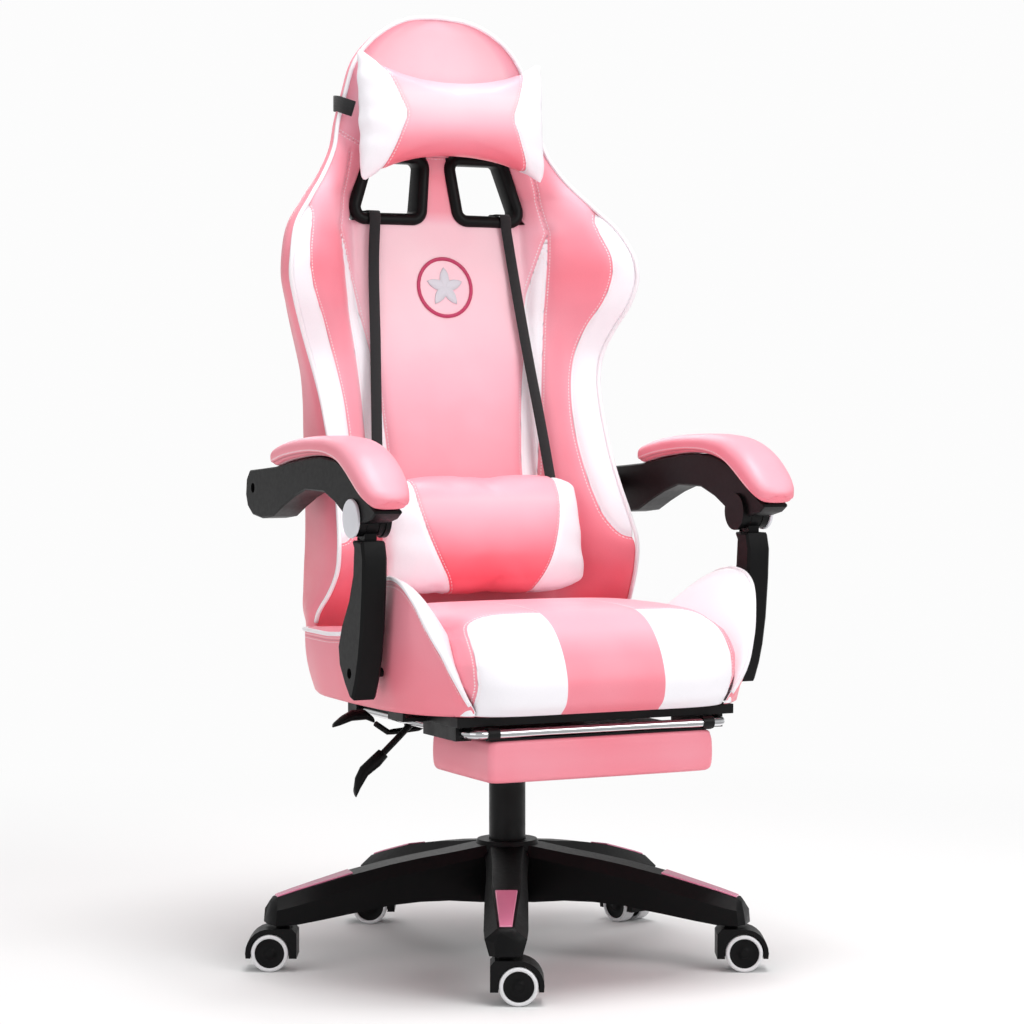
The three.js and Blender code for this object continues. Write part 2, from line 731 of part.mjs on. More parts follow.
function backFrame() {
  const { y, z, radius, pin } = HINGE;
  const pieces = [box([-199, 199], [y - 10, y + 25], [z + 22, 446])];
  for (const side of [-1, 1]) {
    const span = side < 0 ? [-199, -193] : [193, 199];
    const shape = new THREE.Shape();
    shape.moveTo(y - 14, z + 30);
    shape.absarc(y, z, radius, Math.PI, 2 * Math.PI, false);
    shape.lineTo(y + 22, z + 30);
    const lug = plateX(shape, span);
    pieces.push(cut(lug, cylinderX(pin + 0.7, [span[0] - 2, span[1] + 2], y, z, 16)));
  }
  return join(...pieces);
}

function armStud() {
  return cylinderX(12, [199.6, ARM.inner - 0.6], ARM_REAR.y, ARM_REAR.z, 20);
}

// ---------- pillows and straps ----------

// A cushion across X. `heightAt(t)` and `depthAt(t)` give its half sizes at t from 0 (middle) to 1 (end).
function pillow(halfWidth, heightAt, depthAt) {
  const stations = [-1, -0.96, -0.85, -0.6, -0.3, 0, 0.3, 0.6, 0.85, 0.96, 1];
  const sides = 14;
  return loft(stations.map((s) => {
    const t = Math.abs(s);
    const ring = [];
    for (let k = 0; k < sides; k += 1) {
      const angle = (2 * Math.PI * (k + 0.5)) / sides;
      const c = Math.cos(angle);
      const w = Math.sin(angle);
      ring.push(new THREE.Vector3(
        s * halfWidth,
        depthAt(t) * Math.sign(c) * Math.abs(c) ** 0.7,
        heightAt(t) * Math.sign(w) * Math.abs(w) ** 0.7,
      ));
    }
    return ring;
  }));
}

function lumbarPillow() {
  const heightAt = (t) => 91 * (1 - 0.2 * t ** 4);
  const depthAt = (t) => 44 * Math.sqrt(Math.max(0.03, 1 - t ** 4));
  const lean = THREE.MathUtils.degToRad(-13);
  return pillow(157, heightAt, depthAt).rotateX(lean).translate(0, 79, 574);
}

function headPillow() {
  const heightAt = (t) => 62 + 32 * t ** 2 - (t > 0.9 ? 10 : 0);
  const depthAt = (t) => 36 * Math.sqrt(Math.max(0.03, 1 - t ** 3));
  const lean = THREE.MathUtils.degToRad(-4);
  return pillow(152, heightAt, depthAt).rotateX(lean).translate(0, 186, 1157);
}

// Flat webbing round the headrest, open behind the pillow.
function headStrap() {
  const inner = [[150, 200], [162, 216], [162, 232], [154, 254], [136, 262], [70, 271], [0, 275]];
  const thickness = 2;
  const outer = inner.map(([x, y], i) => {
    const before = inner[Math.max(0, i - 1)];
    const after = inner[Math.min(inner.length - 1, i + 1)];
    const run = new THREE.Vector2(after[0] - before[0], after[1] - before[1]).normalize();
    return [x + run.y * thickness, y - run.x * thickness];
  });
  const innerLeft = inner.slice(0, -1).map(([x, y]) => [-x, y]).reverse();
  const outerLeft = outer.slice(0, -1).map(([x, y]) => [-x, y]);
  const outline = [...inner, ...innerLeft, ...outerLeft, ...outer.slice().reverse()];
  const ringAt = (z) => outline.map(([x, y]) => new THREE.Vector3(x, y, z));
  return loft([ringAt(1164), ringAt(1186)]);
}

// Webbing from the bezel down to the lumbar pillow.
function lumbarStrap() {
  const top = new THREE.Vector3(103, 216, 1004);
  const bottom = new THREE.Vector3(133, 138, 664);
  const half = 8;
  const thickness = 1.6;
  const ringAt = ({ x, y, z }) => [
    new THREE.Vector3(x - half, y, z),
    new THREE.Vector3(x + half, y, z),
    new THREE.Vector3(x + half, y - thickness, z),
    new THREE.Vector3(x - half, y - thickness, z),
  ];
  return loft([ringAt(top), ringAt(bottom)]);
}

// ---------- linked armrests ----------

function upright() {
  const front = [[-160, 378], [-173, 404], [-182, 430], [-190, 467], [-196, 520], [-198, 560], [-192, 582]];
  const rear = [[-160, 582], [-166, 572], [-163, 538], [-150, 506], [-126, 472], [-114, 444], [-118, 420]];
  rear.push([-136, 396], [-152, 380]);
  const blade = plateX([...front, ...rear], [264, 298], 3);
  const clearOfBarrel = cylinderX(24.6, [250, 310], ELBOW.y, ELBOW.z, 24);
  const boltBore = cylinderX(HINGE.pin + 0.7, [255, 310], UPRIGHT_BOLT.y, UPRIGHT_BOLT.z, 16);
  const tongueX = [272.6, 289.4];
  const neck = plateX([[-183, 560], [-159, 560], [-159, 612], [-183, 612]], tongueX);
  const eye = cylinderX(22.7, tongueX, ELBOW.y, ELBOW.z, 24);
  const pinBore = cylinderX(ARM.pinRadius + 0.7, [265, 295], ELBOW.y, ELBOW.z, 16);
  return cut(join(cut(blade, clearOfBarrel), neck, eye), boltBore, pinBore);
}

// Lower face of the armrest pad from rear to front, in (y, z).
const PAD_SEAT = [[100, 671], [50, 678], [-10, 684], [-60, 687], [-112, 683], [-148, 673], [-175, 659]];
PAD_SEAT.push([-203, 641], [-224, 629], [-240, 622]);

function armBody() {
  const top = PAD_SEAT.map(([y, z]) => [y, z - GAP]);
  const rearBlock = [[186, 603], [204, 614], [211, 630], [208, 652], [196, 664], [150, 667]];
  const front = [[-240, 618], [-228, 611], [-205, 606]];
  const underside = [[-171, 600], [-135, 616], [-108, 629], [-70, 641], [-8, 642], [35, 631], [75, 617]];
  underside.push([110, 603], [150, 599]);
  const beam = plateX([...rearBlock, ...top, ...front, ...underside], [ARM.inner, ARM.outer], 2);
  const barrel = cylinderX(ARM.barrel, [ARM.inner, ARM.outer], ELBOW.y, ELBOW.z, 24);
  const innerCap = cylinderX(ARM.cap, [ARM.inner - 5, ARM.inner + 2], ELBOW.y, ELBOW.z, 24);
  const slot = cylinderX(24.8, [272, 290], ELBOW.y, ELBOW.z, 24);
  const pinBore = cylinderX(ARM.pinRadius + GAP, [ARM.inner, ARM.outer + 5], ELBOW.y, ELBOW.z, 16);
  const boltRecess = cylinderX(7, [ARM.outer - 8, ARM.outer + 5], ARM_REAR.y - 2, ARM_REAR.z, 16);
  return cut(join(beam, barrel, innerCap), slot, pinBore, boltRecess);
}

function armPad() {
  const crown = [[100, 692], [60, 704], [0, 711], [-60, 713.5], [-110, 712.5], [-150, 708], [-185, 698]];
  crown.push([-214, 681], [-238, 660], [-251, 643]);
  const rings = PAD_SEAT.map(([y, z], i) => {
    const [topY, topZ] = crown[i];
    const nose = i === PAD_SEAT.length - 1 ? 8 : 0;
    const w = 31 - nose;
    const level = (side, share, inset) => new THREE.Vector3(
      281 + side * (w - inset),
      y + (topY - y) * share,
      z + (topZ - z) * share,
    );
    const left = [level(-1, 0, 3), level(-1, 0.25, 0), level(-1, 0.7, 2), level(-1, 0.93, 10)];
    const right = [level(1, 0.93, 10), level(1, 0.7, 2), level(1, 0.25, 0), level(1, 0, 3)];
    return [...left, level(0, 1, w), ...right];
  });
  return loft(rings);
}

function elbowCap() {
  const disc = cylinderX(ARM.cap, [ARM.outer + 0.5, ARM.outer + 5], ELBOW.y, ELBOW.z, 24);
  const pin = cylinderX(ARM.pinRadius, [ARM.inner + 1, ARM.outer + 2], ELBOW.y, ELBOW.z, 16);
  return join(disc, pin);
}

// ---------- assembly ----------

place('star_base', starBase(), BLACK_PLASTIC);
for (let k = 0; k < CASTER.count; k += 1) {
  place(`leg_trim_${k + 1}`, turnToLeg(legTrim(), k), PINK_TRIM);
}
placeCasters();

place('lift_tube', liftTube(), BLACK_STEEL);
place('lift_guide_bush', guideBush(), BLACK_PLASTIC);
place('piston_rod', pistonRod(), CHROME);
place('lift_cylinder', liftCylinder(), CHROME);
place('release_pin', releasePin(), CHROME);

place('mechanism_housing', mechanismHousing(), BLACK_STEEL);
place('seat_pan', seatPan(), BLACK_STEEL);
place('height_lever', heightLever(), BLACK_STEEL);
place('height_lever_grip', heightGrip(), BLACK_PLASTIC);
place('recline_lever', leverStalk(), BLACK_STEEL);
place('recline_lever_grip', reclineGrip(), BLACK_PLASTIC);

placePair('footrest_rail', footrestRail(), BLACK_STEEL);
place('footrest_bar', footrestBar(), CHROME);
place('footrest_hinge', footrestHinge(), BLACK_STEEL);
place('footrest_pad', footrestPad(), PINK_LEATHER);

place('seat_cushion', seatCushion(), PALE_LEATHER);
placePair('seat_bolster', seatBolster(), WHITE_LEATHER);

place('back_frame', backFrame(), BLACK_STEEL);
place('back_upholstery', backUpholstery(), PINK_LEATHER);
placePair('headrest_bezel', bezel(), BLACK_PLASTIC);
placePair('arm_stud', armStud(), BLACK_STEEL);
place('lumbar_pillow', lumbarPillow(), PINK_LEATHER);
place('head_pillow', headPillow(), PALE_LEATHER);
place('head_strap', headStrap(), WEBBING);
placePair('lumbar_strap', lumbarStrap(), WEBBING);

placePair('arm_upright', upright(), BLACK_PLASTIC);
placePair('arm_body', armBody(), BLACK_PLASTIC);
placePair('arm_pad', armPad(), PALE_LEATHER);
placePair('elbow_cap', elbowCap(), GREY_CAP);

for (const mesh of chair.children) {
  mesh.geometry.translate(-FOOTPRINT.x, -FOOTPRINT.y, 0);
}

export default chair;
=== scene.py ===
"""Looks of the swivel chair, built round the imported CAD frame.

Shapes are written in chair millimetres: the gas lift is the Z axis, the floor is z = 0 and the
sitter faces -Y. to_world() moves them into the frame's metres.
"""
import json
import math

import bmesh
import bpy
import numpy as np
from mathutils import Matrix, Vector


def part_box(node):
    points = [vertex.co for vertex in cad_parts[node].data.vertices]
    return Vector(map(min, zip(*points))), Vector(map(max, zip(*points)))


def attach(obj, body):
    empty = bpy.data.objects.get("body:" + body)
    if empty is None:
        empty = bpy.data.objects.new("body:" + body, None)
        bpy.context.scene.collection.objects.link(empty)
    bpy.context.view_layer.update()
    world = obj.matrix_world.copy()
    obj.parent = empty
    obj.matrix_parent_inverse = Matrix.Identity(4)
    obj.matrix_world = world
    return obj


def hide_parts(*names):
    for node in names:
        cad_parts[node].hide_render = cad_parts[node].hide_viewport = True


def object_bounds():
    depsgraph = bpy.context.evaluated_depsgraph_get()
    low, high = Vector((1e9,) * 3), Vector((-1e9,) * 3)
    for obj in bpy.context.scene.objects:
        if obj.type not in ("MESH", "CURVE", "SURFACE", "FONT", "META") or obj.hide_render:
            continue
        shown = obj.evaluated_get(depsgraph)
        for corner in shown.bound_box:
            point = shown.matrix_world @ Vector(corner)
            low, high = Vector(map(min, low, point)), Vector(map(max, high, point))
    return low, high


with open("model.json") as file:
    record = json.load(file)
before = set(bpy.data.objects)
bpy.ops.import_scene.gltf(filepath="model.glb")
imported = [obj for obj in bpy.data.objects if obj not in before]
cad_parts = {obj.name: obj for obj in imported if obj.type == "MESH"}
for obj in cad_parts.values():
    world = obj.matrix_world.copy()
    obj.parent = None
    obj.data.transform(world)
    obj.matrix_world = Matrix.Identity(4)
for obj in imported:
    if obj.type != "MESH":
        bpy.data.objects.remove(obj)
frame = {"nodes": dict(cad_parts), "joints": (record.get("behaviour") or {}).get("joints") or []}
CAD_LOW, CAD_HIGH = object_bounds()

LIFT_LOW, LIFT_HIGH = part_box("lift_tube")
LIFT_AXIS = np.array([(LIFT_LOW.x + LIFT_HIGH.x) / 2, (LIFT_LOW.y + LIFT_HIGH.y) / 2, 0.0])
SIDES = (("left", 1), ("right", -1))


def to_world(points):
    """Chair millimetres to frame metres."""
    return np.asarray(points, float) * 0.001 + LIFT_AXIS


# ---------- curves and distances ----------

def hermite(stations, samples):
    """Smooth values through the rows of a table, spaced by the length of its first two columns."""
    table = np.asarray(stations, float)
    steps = np.hypot(*(np.diff(table[:, :2], axis=0)).T)
    t = np.concatenate([[0], np.cumsum(np.maximum(steps, 1e-6))])
    return hermite_at(t, table, np.linspace(0, t[-1], samples))


def hermite_at(t, table, where):
    slopes = np.gradient(table, t, axis=0)
    k = np.clip(np.searchsorted(t, where, side="right") - 1, 0, len(t) - 2)
    h = (t[k + 1] - t[k])[:, None]
    s = ((where - t[k])[:, None]) / h
    a, b = table[k], table[k + 1]
    da, db = slopes[k] * h, slopes[k + 1] * h
    return ((2 * s**3 - 3 * s**2 + 1) * a + (s**3 - 2 * s**2 + s) * da
            + (3 * s**2 - 2 * s**3) * b + (s**3 - s**2) * db)


def curve(points, samples):
    """A smooth 3-D line through the points."""
    table = np.asarray(points, float)
    t = np.concatenate([[0], np.cumsum(np.linalg.norm(np.diff(table, axis=0), axis=1))])
    return hermite_at(t, table, np.linspace(0, t[-1], samples))


def line_distance(points, line):
    """Distance of 2-D points to a polyline, and how far along it the nearest place lies."""
    best = np.full(len(points), 1e9)
    along = np.zeros(len(points))
    travelled = 0.0
    for a, b in zip(line[:-1], line[1:]):
        run = b - a
        length = max(np.linalg.norm(run), 1e-9)
        t = np.clip((points - a) @ run / length**2, 0, 1)
        gap = np.linalg.norm(points - a - t[:, None] * run, axis=1)
        nearer = gap < best
        best[nearer] = gap[nearer]
        along[nearer] = travelled + t[nearer] * length
        travelled += length
    return best, along


def inside_distance(points, polygon):
    """Signed distance to a closed 2-D outline, positive inside."""
    ring = np.vstack([polygon, polygon[:1]])
    gap, _ = line_distance(points, ring)
    inside = np.zeros(len(points), bool)
    for (ax, ay), (bx, by) in zip(ring[:-1], ring[1:]):
        if ay == by:
            continue
        crosses = (ay > points[:, 1]) != (by > points[:, 1])
        inside ^= crosses & (points[:, 0] < (bx - ax) * (points[:, 1] - ay) / (by - ay) + ax)
    return np.where(inside, gap, -gap)


def smoothstep(low, high, value):
    t = np.clip((value - low) / (high - low), 0, 1)
    return t * t * (3 - 2 * t)


# ---------- meshes ----------

def mesh_object(name, points, faces, material):
    """A smooth mesh in chair millimetres, with its faces turned outward."""
    mesh = bpy.data.meshes.new(name)
    corners = [tuple(int(i) for i in face) for face in faces]
    mesh.from_pydata([tuple(p) for p in to_world(points)], [], corners)
    mesh.update()
    bm = bmesh.new()
    bm.from_mesh(mesh)
    bmesh.ops.recalc_face_normals(bm, faces=bm.faces)
    bm.to_mesh(mesh)
    bm.free()
    mesh.polygons.foreach_set("use_smooth", [True] * len(mesh.polygons))
    mesh.materials.append(material)
    obj = bpy.data.objects.new(name, mesh)
    bpy.context.scene.collection.objects.link(obj)
    return obj


def grid_faces(rows, columns):
    """Quads of a grid whose columns wrap round."""
    i = np.arange(rows - 1)[:, None] * columns
    j = np.arange(columns)[None, :]
    k = (j + 1) % columns
    return np.stack([i + j, i + k, i + columns + k, i + columns + j], -1).reshape(-1, 4)


def capped(grid):
    """The points of the rings, then the middles of the first ring and the last."""
    return np.vstack([grid.reshape(-1, 3), grid[0].mean(0), grid[-1].mean(0)])


def skin(name, grid, material):
    """A closed skin through rings, each row of the grid being one ring."""
    rows, columns = grid.shape[:2]
    faces = [tuple(face) for face in grid_faces(rows, columns)]
    low, high, last = rows * columns, rows * columns + 1, (rows - 1) * columns
    for j in range(columns):
        k = (j + 1) % columns
        faces.append((low, k, j))
        faces.append((high, last + j, last + k))
    return mesh_object(name, capped(grid), faces, material)


def hoop(name, grid, material):
    """A skin that closes on itself both round each ring and from the last ring to the first."""
    rows, columns = grid.shape[:2]
    faces = grid_faces(rows + 1, columns) % (rows * columns)
    return mesh_object(name, grid.reshape(-1, 3), faces, material)


def frames_along(path):
    """Unit tangent, side and up at each point, turning as little as possible."""
    tangent = np.gradient(path, axis=0)
    tangent /= np.linalg.norm(tangent, axis=1)[:, None]
    side = np.cross(tangent[0], [0.3, 0.2, 0.93])
    sides = []
    for t in tangent:
        side = side - t * (side @ t)
        side = side / np.linalg.norm(side)
        sides.append(side)
    sides = np.array(sides)
    return tangent, sides, np.cross(tangent, sides)


def tube(name, path, radius, material, sides):
    """A round cord along a path."""
    _, side, up = frames_along(path)
    angle = np.arange(sides) * 2 * np.pi / sides
    grid = (path[:, None] + radius * (np.cos(angle)[None, :, None] * side[:, None]
            + np.sin(angle)[None, :, None] * up[:, None]))
    return skin(name, grid, material)


def turned(profile, centre, axis, sides):
    """Rings of (radius, distance along the axis) round a level axis through the centre."""
    u = np.cross(axis, [0, 0, 1.0])
    u /= np.linalg.norm(u)
    v = np.cross(axis, u)
    angle = np.arange(sides) * 2 * np.pi / sides
    ring = np.cos(angle)[:, None] * u + np.sin(angle)[:, None] * v
    radius, along = np.asarray(profile, float).T[:, :, None, None]
    return centre + radius * ring + along * axis


# Where a piece has no seam, and where it isn't white.
NO_SEAM = 50.0
NOT_WHITE = -10.0
# A place that is far from every seam, for points that a seam doesn't reach.
AWAY = 1e4


def set_attribute(obj, name, values):
    layer = obj.data.attributes.get(name) or obj.data.attributes.new(name, "FLOAT", "POINT")
    layer.data.foreach_set("value", np.asarray(values, np.float32))


def chair_points(obj):
    co = np.zeros(len(obj.data.vertices) * 3)
    obj.data.vertices.foreach_get("co", co)
    return (co.reshape(-1, 3) - LIFT_AXIS) * 1000


def push(obj, millimetres):
    """Moves each point along its normal."""
    mesh = obj.data
    co = np.zeros(len(mesh.vertices) * 3)
    mesh.vertices.foreach_get("co", co)
    normals = np.zeros(len(mesh.vertices) * 3)
    mesh.vertex_normals.foreach_get("vector", normals)
    co += normals * np.repeat(np.asarray(millimetres) * 0.001, 3)
    mesh.vertices.foreach_set("co", co)
    mesh.update()


def sewn(obj, seams, depth=1.5, width=2.6):
    """Presses a groove along each seam, and stores distance and run for the stitches and for the painted
    shade in the groove.

    seams is a list of (points in 2-D, polyline), one set of 2-D points per seam.
    """
    count = len(obj.data.vertices)
    nearest = np.full(count, NO_SEAM)
    run = np.zeros(count)
    for points, line in seams:
        gap, along = line_distance(points, np.asarray(line, float))
        closer = gap < nearest
        nearest[closer] = gap[closer]
        run[closer] = along[closer]
    set_attribute(obj, "seam", nearest)
    set_attribute(obj, "run", run)
    push(obj, -depth * np.exp(-((nearest / width) ** 2)))


def puff(obj, voxel=5, pressure=4.0, cap=8.0, frames=18):
    """Swells a closed form as a filled cover, with Blender's cloth, and caps how far it may move."""
    bpy.context.view_layer.objects.active = obj
    remesh = obj.modifiers.new("remesh", "REMESH")
    remesh.mode = "VOXEL"
    remesh.voxel_size = voxel * 0.001
    apply_modifier(obj, remesh)
    start = chair_points(obj)
    cloth = obj.modifiers.new("cloth", "CLOTH")
    cloth.settings.use_pressure = True
    cloth.settings.uniform_pressure_force = pressure
    cloth.settings.effector_weights.gravity = 0
    cloth.settings.tension_stiffness = 25
    cloth.settings.compression_stiffness = 12
    cloth.point_cache.frame_start = 1
    cloth.point_cache.frame_end = frames
    scene = bpy.context.scene
    for number in range(1, frames + 1):
        scene.frame_set(number)
    evaluated = obj.evaluated_get(bpy.context.evaluated_depsgraph_get())
    co = np.zeros(len(obj.data.vertices) * 3)
    evaluated.data.vertices.foreach_get("co", co)
    moved = (co.reshape(-1, 3) - LIFT_AXIS) * 1000 - start
    distance = np.linalg.norm(moved, axis=1)
    share = np.minimum(1.0, cap / np.maximum(distance, 1e-9))
    obj.modifiers.remove(cloth)
    scene.frame_set(1)
    obj.data.vertices.foreach_set("co", to_world(start + moved * share[:, None]).ravel())
    obj.data.update()
    relax(obj, 4)
    return obj


def relax(obj, rounds):
    bm = bmesh.new()
    bm.from_mesh(obj.data)
    for _ in range(rounds):
        bmesh.ops.smooth_vert(bm, verts=bm.verts, factor=0.5,
                              use_axis_x=True, use_axis_y=True, use_axis_z=True)
    bm.to_mesh(obj.data)
    bm.free()
    obj.data.polygons.foreach_set("use_smooth", [True] * len(obj.data.polygons))


def apply_modifier(obj, modifier):
    with bpy.context.temp_override(object=obj, active_object=obj, selected_objects=[obj]):
        bpy.ops.object.modifier_apply(modifier=modifier.name)


def subdivide(obj, levels=1):
    modifier = obj.modifiers.new("subdivision", "SUBSURF")
    modifier.levels = modifier.render_levels = levels
    apply_modifier(obj, modifier)


# ---------- materials ----------

def srgb(red, green, blue):
    def channel(value):
        value /= 255
        return value / 12.92 if value <= 0.04045 else ((value + 0.055) / 1.055) ** 2.4
    return (channel(red), channel(green), channel(blue), 1.0)


class Shader:
    """A node material with short ways to add and link nodes."""

    def __init__(self, name, roughness=0.5, metallic=0.0, specular=0.5):
        self.material = bpy.data.materials.new(name)
        self.material.use_nodes = True
        self.tree = self.material.node_tree
        self.surface = self.tree.nodes["Principled BSDF"]
        self.surface.inputs["Roughness"].default_value = roughness
        self.surface.inputs["Metallic"].default_value = metallic
        self.surface.inputs["Specular IOR Level"].default_value = specular

    def node(self, kind, settings=None, **inputs):
        node = self.tree.nodes.new(kind)
        for key, value in (settings or {}).items():
            setattr(node, key, value)
        for key, value in inputs.items():
            self.feed(node.inputs[key.replace("_", " ")], value)
        return node

    def feed(self, socket, value):
        if isinstance(value, bpy.types.NodeSocket):
            self.tree.links.new(value, socket)
        else:
            socket.default_value = value

    def math(self, operation, a, b=0.0, clamp=False):
        node = self.tree.nodes.new("ShaderNodeMath")
        node.operation = operation
        node.use_clamp = clamp
        self.feed(node.inputs[0], a)
        self.feed(node.inputs[1], b)
        return node.outputs[0]

    def ramp(self, value, low, high, out_low=0.0, out_high=1.0):
        node = self.tree.nodes.new("ShaderNodeMapRange")
        node.interpolation_type = "SMOOTHSTEP"
        for index, item in enumerate((value, low, high, out_low, out_high)):
            self.feed(node.inputs[index], item)
        return node.outputs[0]

    def mix(self, factor, a, b, blend="MIX"):
        node = self.tree.nodes.new("ShaderNodeMix")
        node.data_type = "RGBA"
        node.blend_type = blend
        for index, item in ((0, factor), (6, a), (7, b)):
            self.feed(node.inputs[index], item)
        return node.outputs[2]

    def attribute(self, name):
        return self.node("ShaderNodeAttribute", {"attribute_name": name}).outputs["Fac"]

    def place(self):
        return self.node("ShaderNodeTexCoord").outputs["Object"]

    def noise(self, scale, detail=3.0):
        return self.node("ShaderNodeTexNoise", Vector=self.place(), Scale=scale, Detail=detail).outputs["Fac"]

    def cells(self, scale):
        edges = {"feature": "DISTANCE_TO_EDGE"}
        node = self.node("ShaderNodeTexVoronoi", edges, Vector=self.place(), Scale=scale)
        return node.outputs["Distance"]

    def bump(self, height, distance, strength=1.0):
        bump = self.node("ShaderNodeBump", Height=height, Distance=distance, Strength=strength)
        self.tree.links.new(bump.outputs["Normal"], self.surface.inputs["Normal"])

    def colour(self, value):
        self.feed(self.surface.inputs["Base Color"], value)

    def roughen(self, value):
        self.feed(self.surface.inputs["Roughness"], value)


TINTS = ((0.0, srgb(252, 218, 225)), (0.35, srgb(249, 180, 195)), (0.7, srgb(246, 138, 154)),
         (1.0, srgb(246, 92, 108)))
WHITE = srgb(250, 247, 252)
THREAD = srgb(250, 236, 240)


def scaled(colour, factor, lift=0.0):
    """A colour made lighter or darker."""
    return tuple(min(1.0, c * factor + lift) for c in colour[:3]) + (1.0,)


def leather(name, plain=None):
    """Grained synthetic leather, pale to coral with white panels, unless it is plain; the pale-to-coral tint
    is partly print and partly painted highlight and shade.
    """
    s = Shader(name, 0.42, specular=0.45)
    s.surface.inputs["Coat Weight"].default_value = 0.12
    s.surface.inputs["Coat Roughness"].default_value = 0.35
    if plain is None:
        patches = s.ramp(s.noise(9.0, 2.0), 0.3, 0.7, -0.035, 0.035)
        ramp = s.node("ShaderNodeValToRGB")
        elements = ramp.color_ramp.elements
        elements[0].position, elements[0].color = TINTS[0]
        elements[1].position, elements[1].color = TINTS[3]
        for position, colour in TINTS[1:3]:
            elements.new(position).color = colour
        # the tint attribute holds the print together with painted highlight and painted shade
        s.feed(ramp.inputs["Fac"], s.math("ADD", s.attribute("tint"), patches))
        pink = ramp.outputs["Color"]
        white = s.ramp(s.attribute("white"), -0.35, 0.35)
        base = s.mix(white, pink, WHITE)
    else:
        base = s.mix(s.ramp(s.noise(9.0, 2.0), 0.35, 0.65, 0.0, 0.35), plain, scaled(plain, 0.93))
    grain = s.ramp(s.cells(820.0), 0.0, 0.12)
    pores = s.noise(2600.0, 2.0)
    seam = s.attribute("seam")
    row = s.math("MULTIPLY", s.ramp(seam, 2.2, 2.6), s.ramp(seam, 3.1, 3.5, 1.0, 0.0))
    dash = s.ramp(s.math("SINE", s.math("MULTIPLY", s.attribute("run"), 2 * math.pi / 4.6)), -0.55, -0.3)
    stitch = s.math("MULTIPLY", row, dash)
    groove = s.ramp(seam, 0.2, 1.6)
    # painted shade: the colour darkens to 0.62 in the seam groove; the grain cells darken it a little, which
    # is grain colour
    shade = s.math("MULTIPLY", s.ramp(seam, 0.0, 1.3, 0.62, 1.0), s.ramp(grain, 0.0, 1.0, 0.965, 1.0))
    shades = s.node("ShaderNodeCombineColor", Red=shade, Green=shade, Blue=shade)
    darker = s.mix(1.0, base, shades.outputs["Color"], "MULTIPLY")
    s.colour(s.mix(s.math("MULTIPLY", stitch, 0.75), darker, THREAD))
    s.roughen(s.ramp(s.math("ADD", s.math("MULTIPLY", grain, -0.5), pores), 0.0, 1.0, 0.36, 0.56))
    height = s.math("ADD", s.math("MULTIPLY", grain, 0.22), s.math("MULTIPLY", pores, 0.10))
    height = s.math("ADD", height, s.math("MULTIPLY", s.math("ADD", groove, stitch), 0.9))
    s.bump(height, 0.0004, 0.55)
    return s.material


def moulded(name, colour, roughness=0.45, texture=0.25, gloss=0.0, specular=0.5):
    """Injection-moulded plastic with a fine spark-eroded texture."""
    s = Shader(name, roughness, specular=specular)
    s.surface.inputs["Coat Weight"].default_value = gloss
    s.surface.inputs["Coat Roughness"].default_value = 0.08
    cloud = s.ramp(s.noise(14.0, 3.0), 0.3, 0.7, 0.0, 1.0)
    s.colour(s.mix(cloud, colour, scaled(colour, 1.1, 0.0004)))
    s.roughen(s.ramp(s.noise(160.0, 2.0), 0.3, 0.7, roughness - 0.02, roughness + 0.03))
    coarse = s.math("MULTIPLY", s.noise(420.0, 2.0), 0.6)
    s.bump(s.math("ADD", s.noise(1900.0, 2.0), coarse), 0.00025, texture)
    return s.material


def painted(name, colour, roughness):
    """Powder-coated steel with orange peel."""
    s = Shader(name, roughness, 0.0, 0.18)
    worn = s.ramp(s.noise(30.0, 4.0), 0.62, 0.74, 0.0, 0.35)
    s.colour(s.mix(worn, colour, scaled(colour, 1.8)))
    s.roughen(s.ramp(s.noise(45.0, 3.0), 0.3, 0.7, roughness - 0.06, roughness + 0.08))
    s.bump(s.noise(520.0, 2.0), 0.0003, 0.35)
    return s.material


def polished(name, colour, roughness, reflection_darkness):
    """Bright metal with a painted reflection: the last argument darkens the bands, by which way each face
    points, that would mirror the unlit parts of a room.
    """
    s = Shader(name, roughness, 1.0)
    normal = s.node("ShaderNodeNewGeometry").outputs["Normal"]
    height = s.node("ShaderNodeSeparateXYZ", Vector=normal).outputs["Z"]
    # painted reflection: darker bands by how far each face points up or down
    band = s.ramp(s.math("SINE", s.math("MULTIPLY", height, 7.5)), -0.1, 0.5)
    s.colour(s.mix(band, scaled(colour, 1 - reflection_darkness), colour))
    s.roughen(s.ramp(s.noise(180.0, 4.0), 0.35, 0.7, roughness, roughness + 0.07))
    s.bump(s.noise(900.0, 2.0), 0.00005, 0.12)
    return s.material


def woven(name, colour):
    """Narrow black webbing: ribs across, twill lines along."""
    s = Shader(name, 0.72, specular=0.3)
    s.surface.inputs["Sheen Weight"].default_value = 0.25
    place = s.node("ShaderNodeSeparateXYZ", Vector=s.place())
    rib = s.math("SINE", s.math("MULTIPLY", place.outputs["Z"], 2 * math.pi / 0.0018))
    over = s.math("MULTIPLY", place.outputs["X"], 2600.0)
    along = s.math("MULTIPLY", place.outputs["Z"], 1700.0)
    twill = s.math("SINE", s.math("ADD", over, along))
    weave = s.math("MULTIPLY", s.math("ADD", rib, twill), 0.25)
    s.colour(s.mix(s.ramp(weave, -0.4, 0.45), colour, scaled(colour, 2.2, 0.004)))
    s.bump(s.math("ADD", weave, s.math("MULTIPLY", s.noise(1500.0), 0.2)), 0.0004, 0.6)
    return s.material
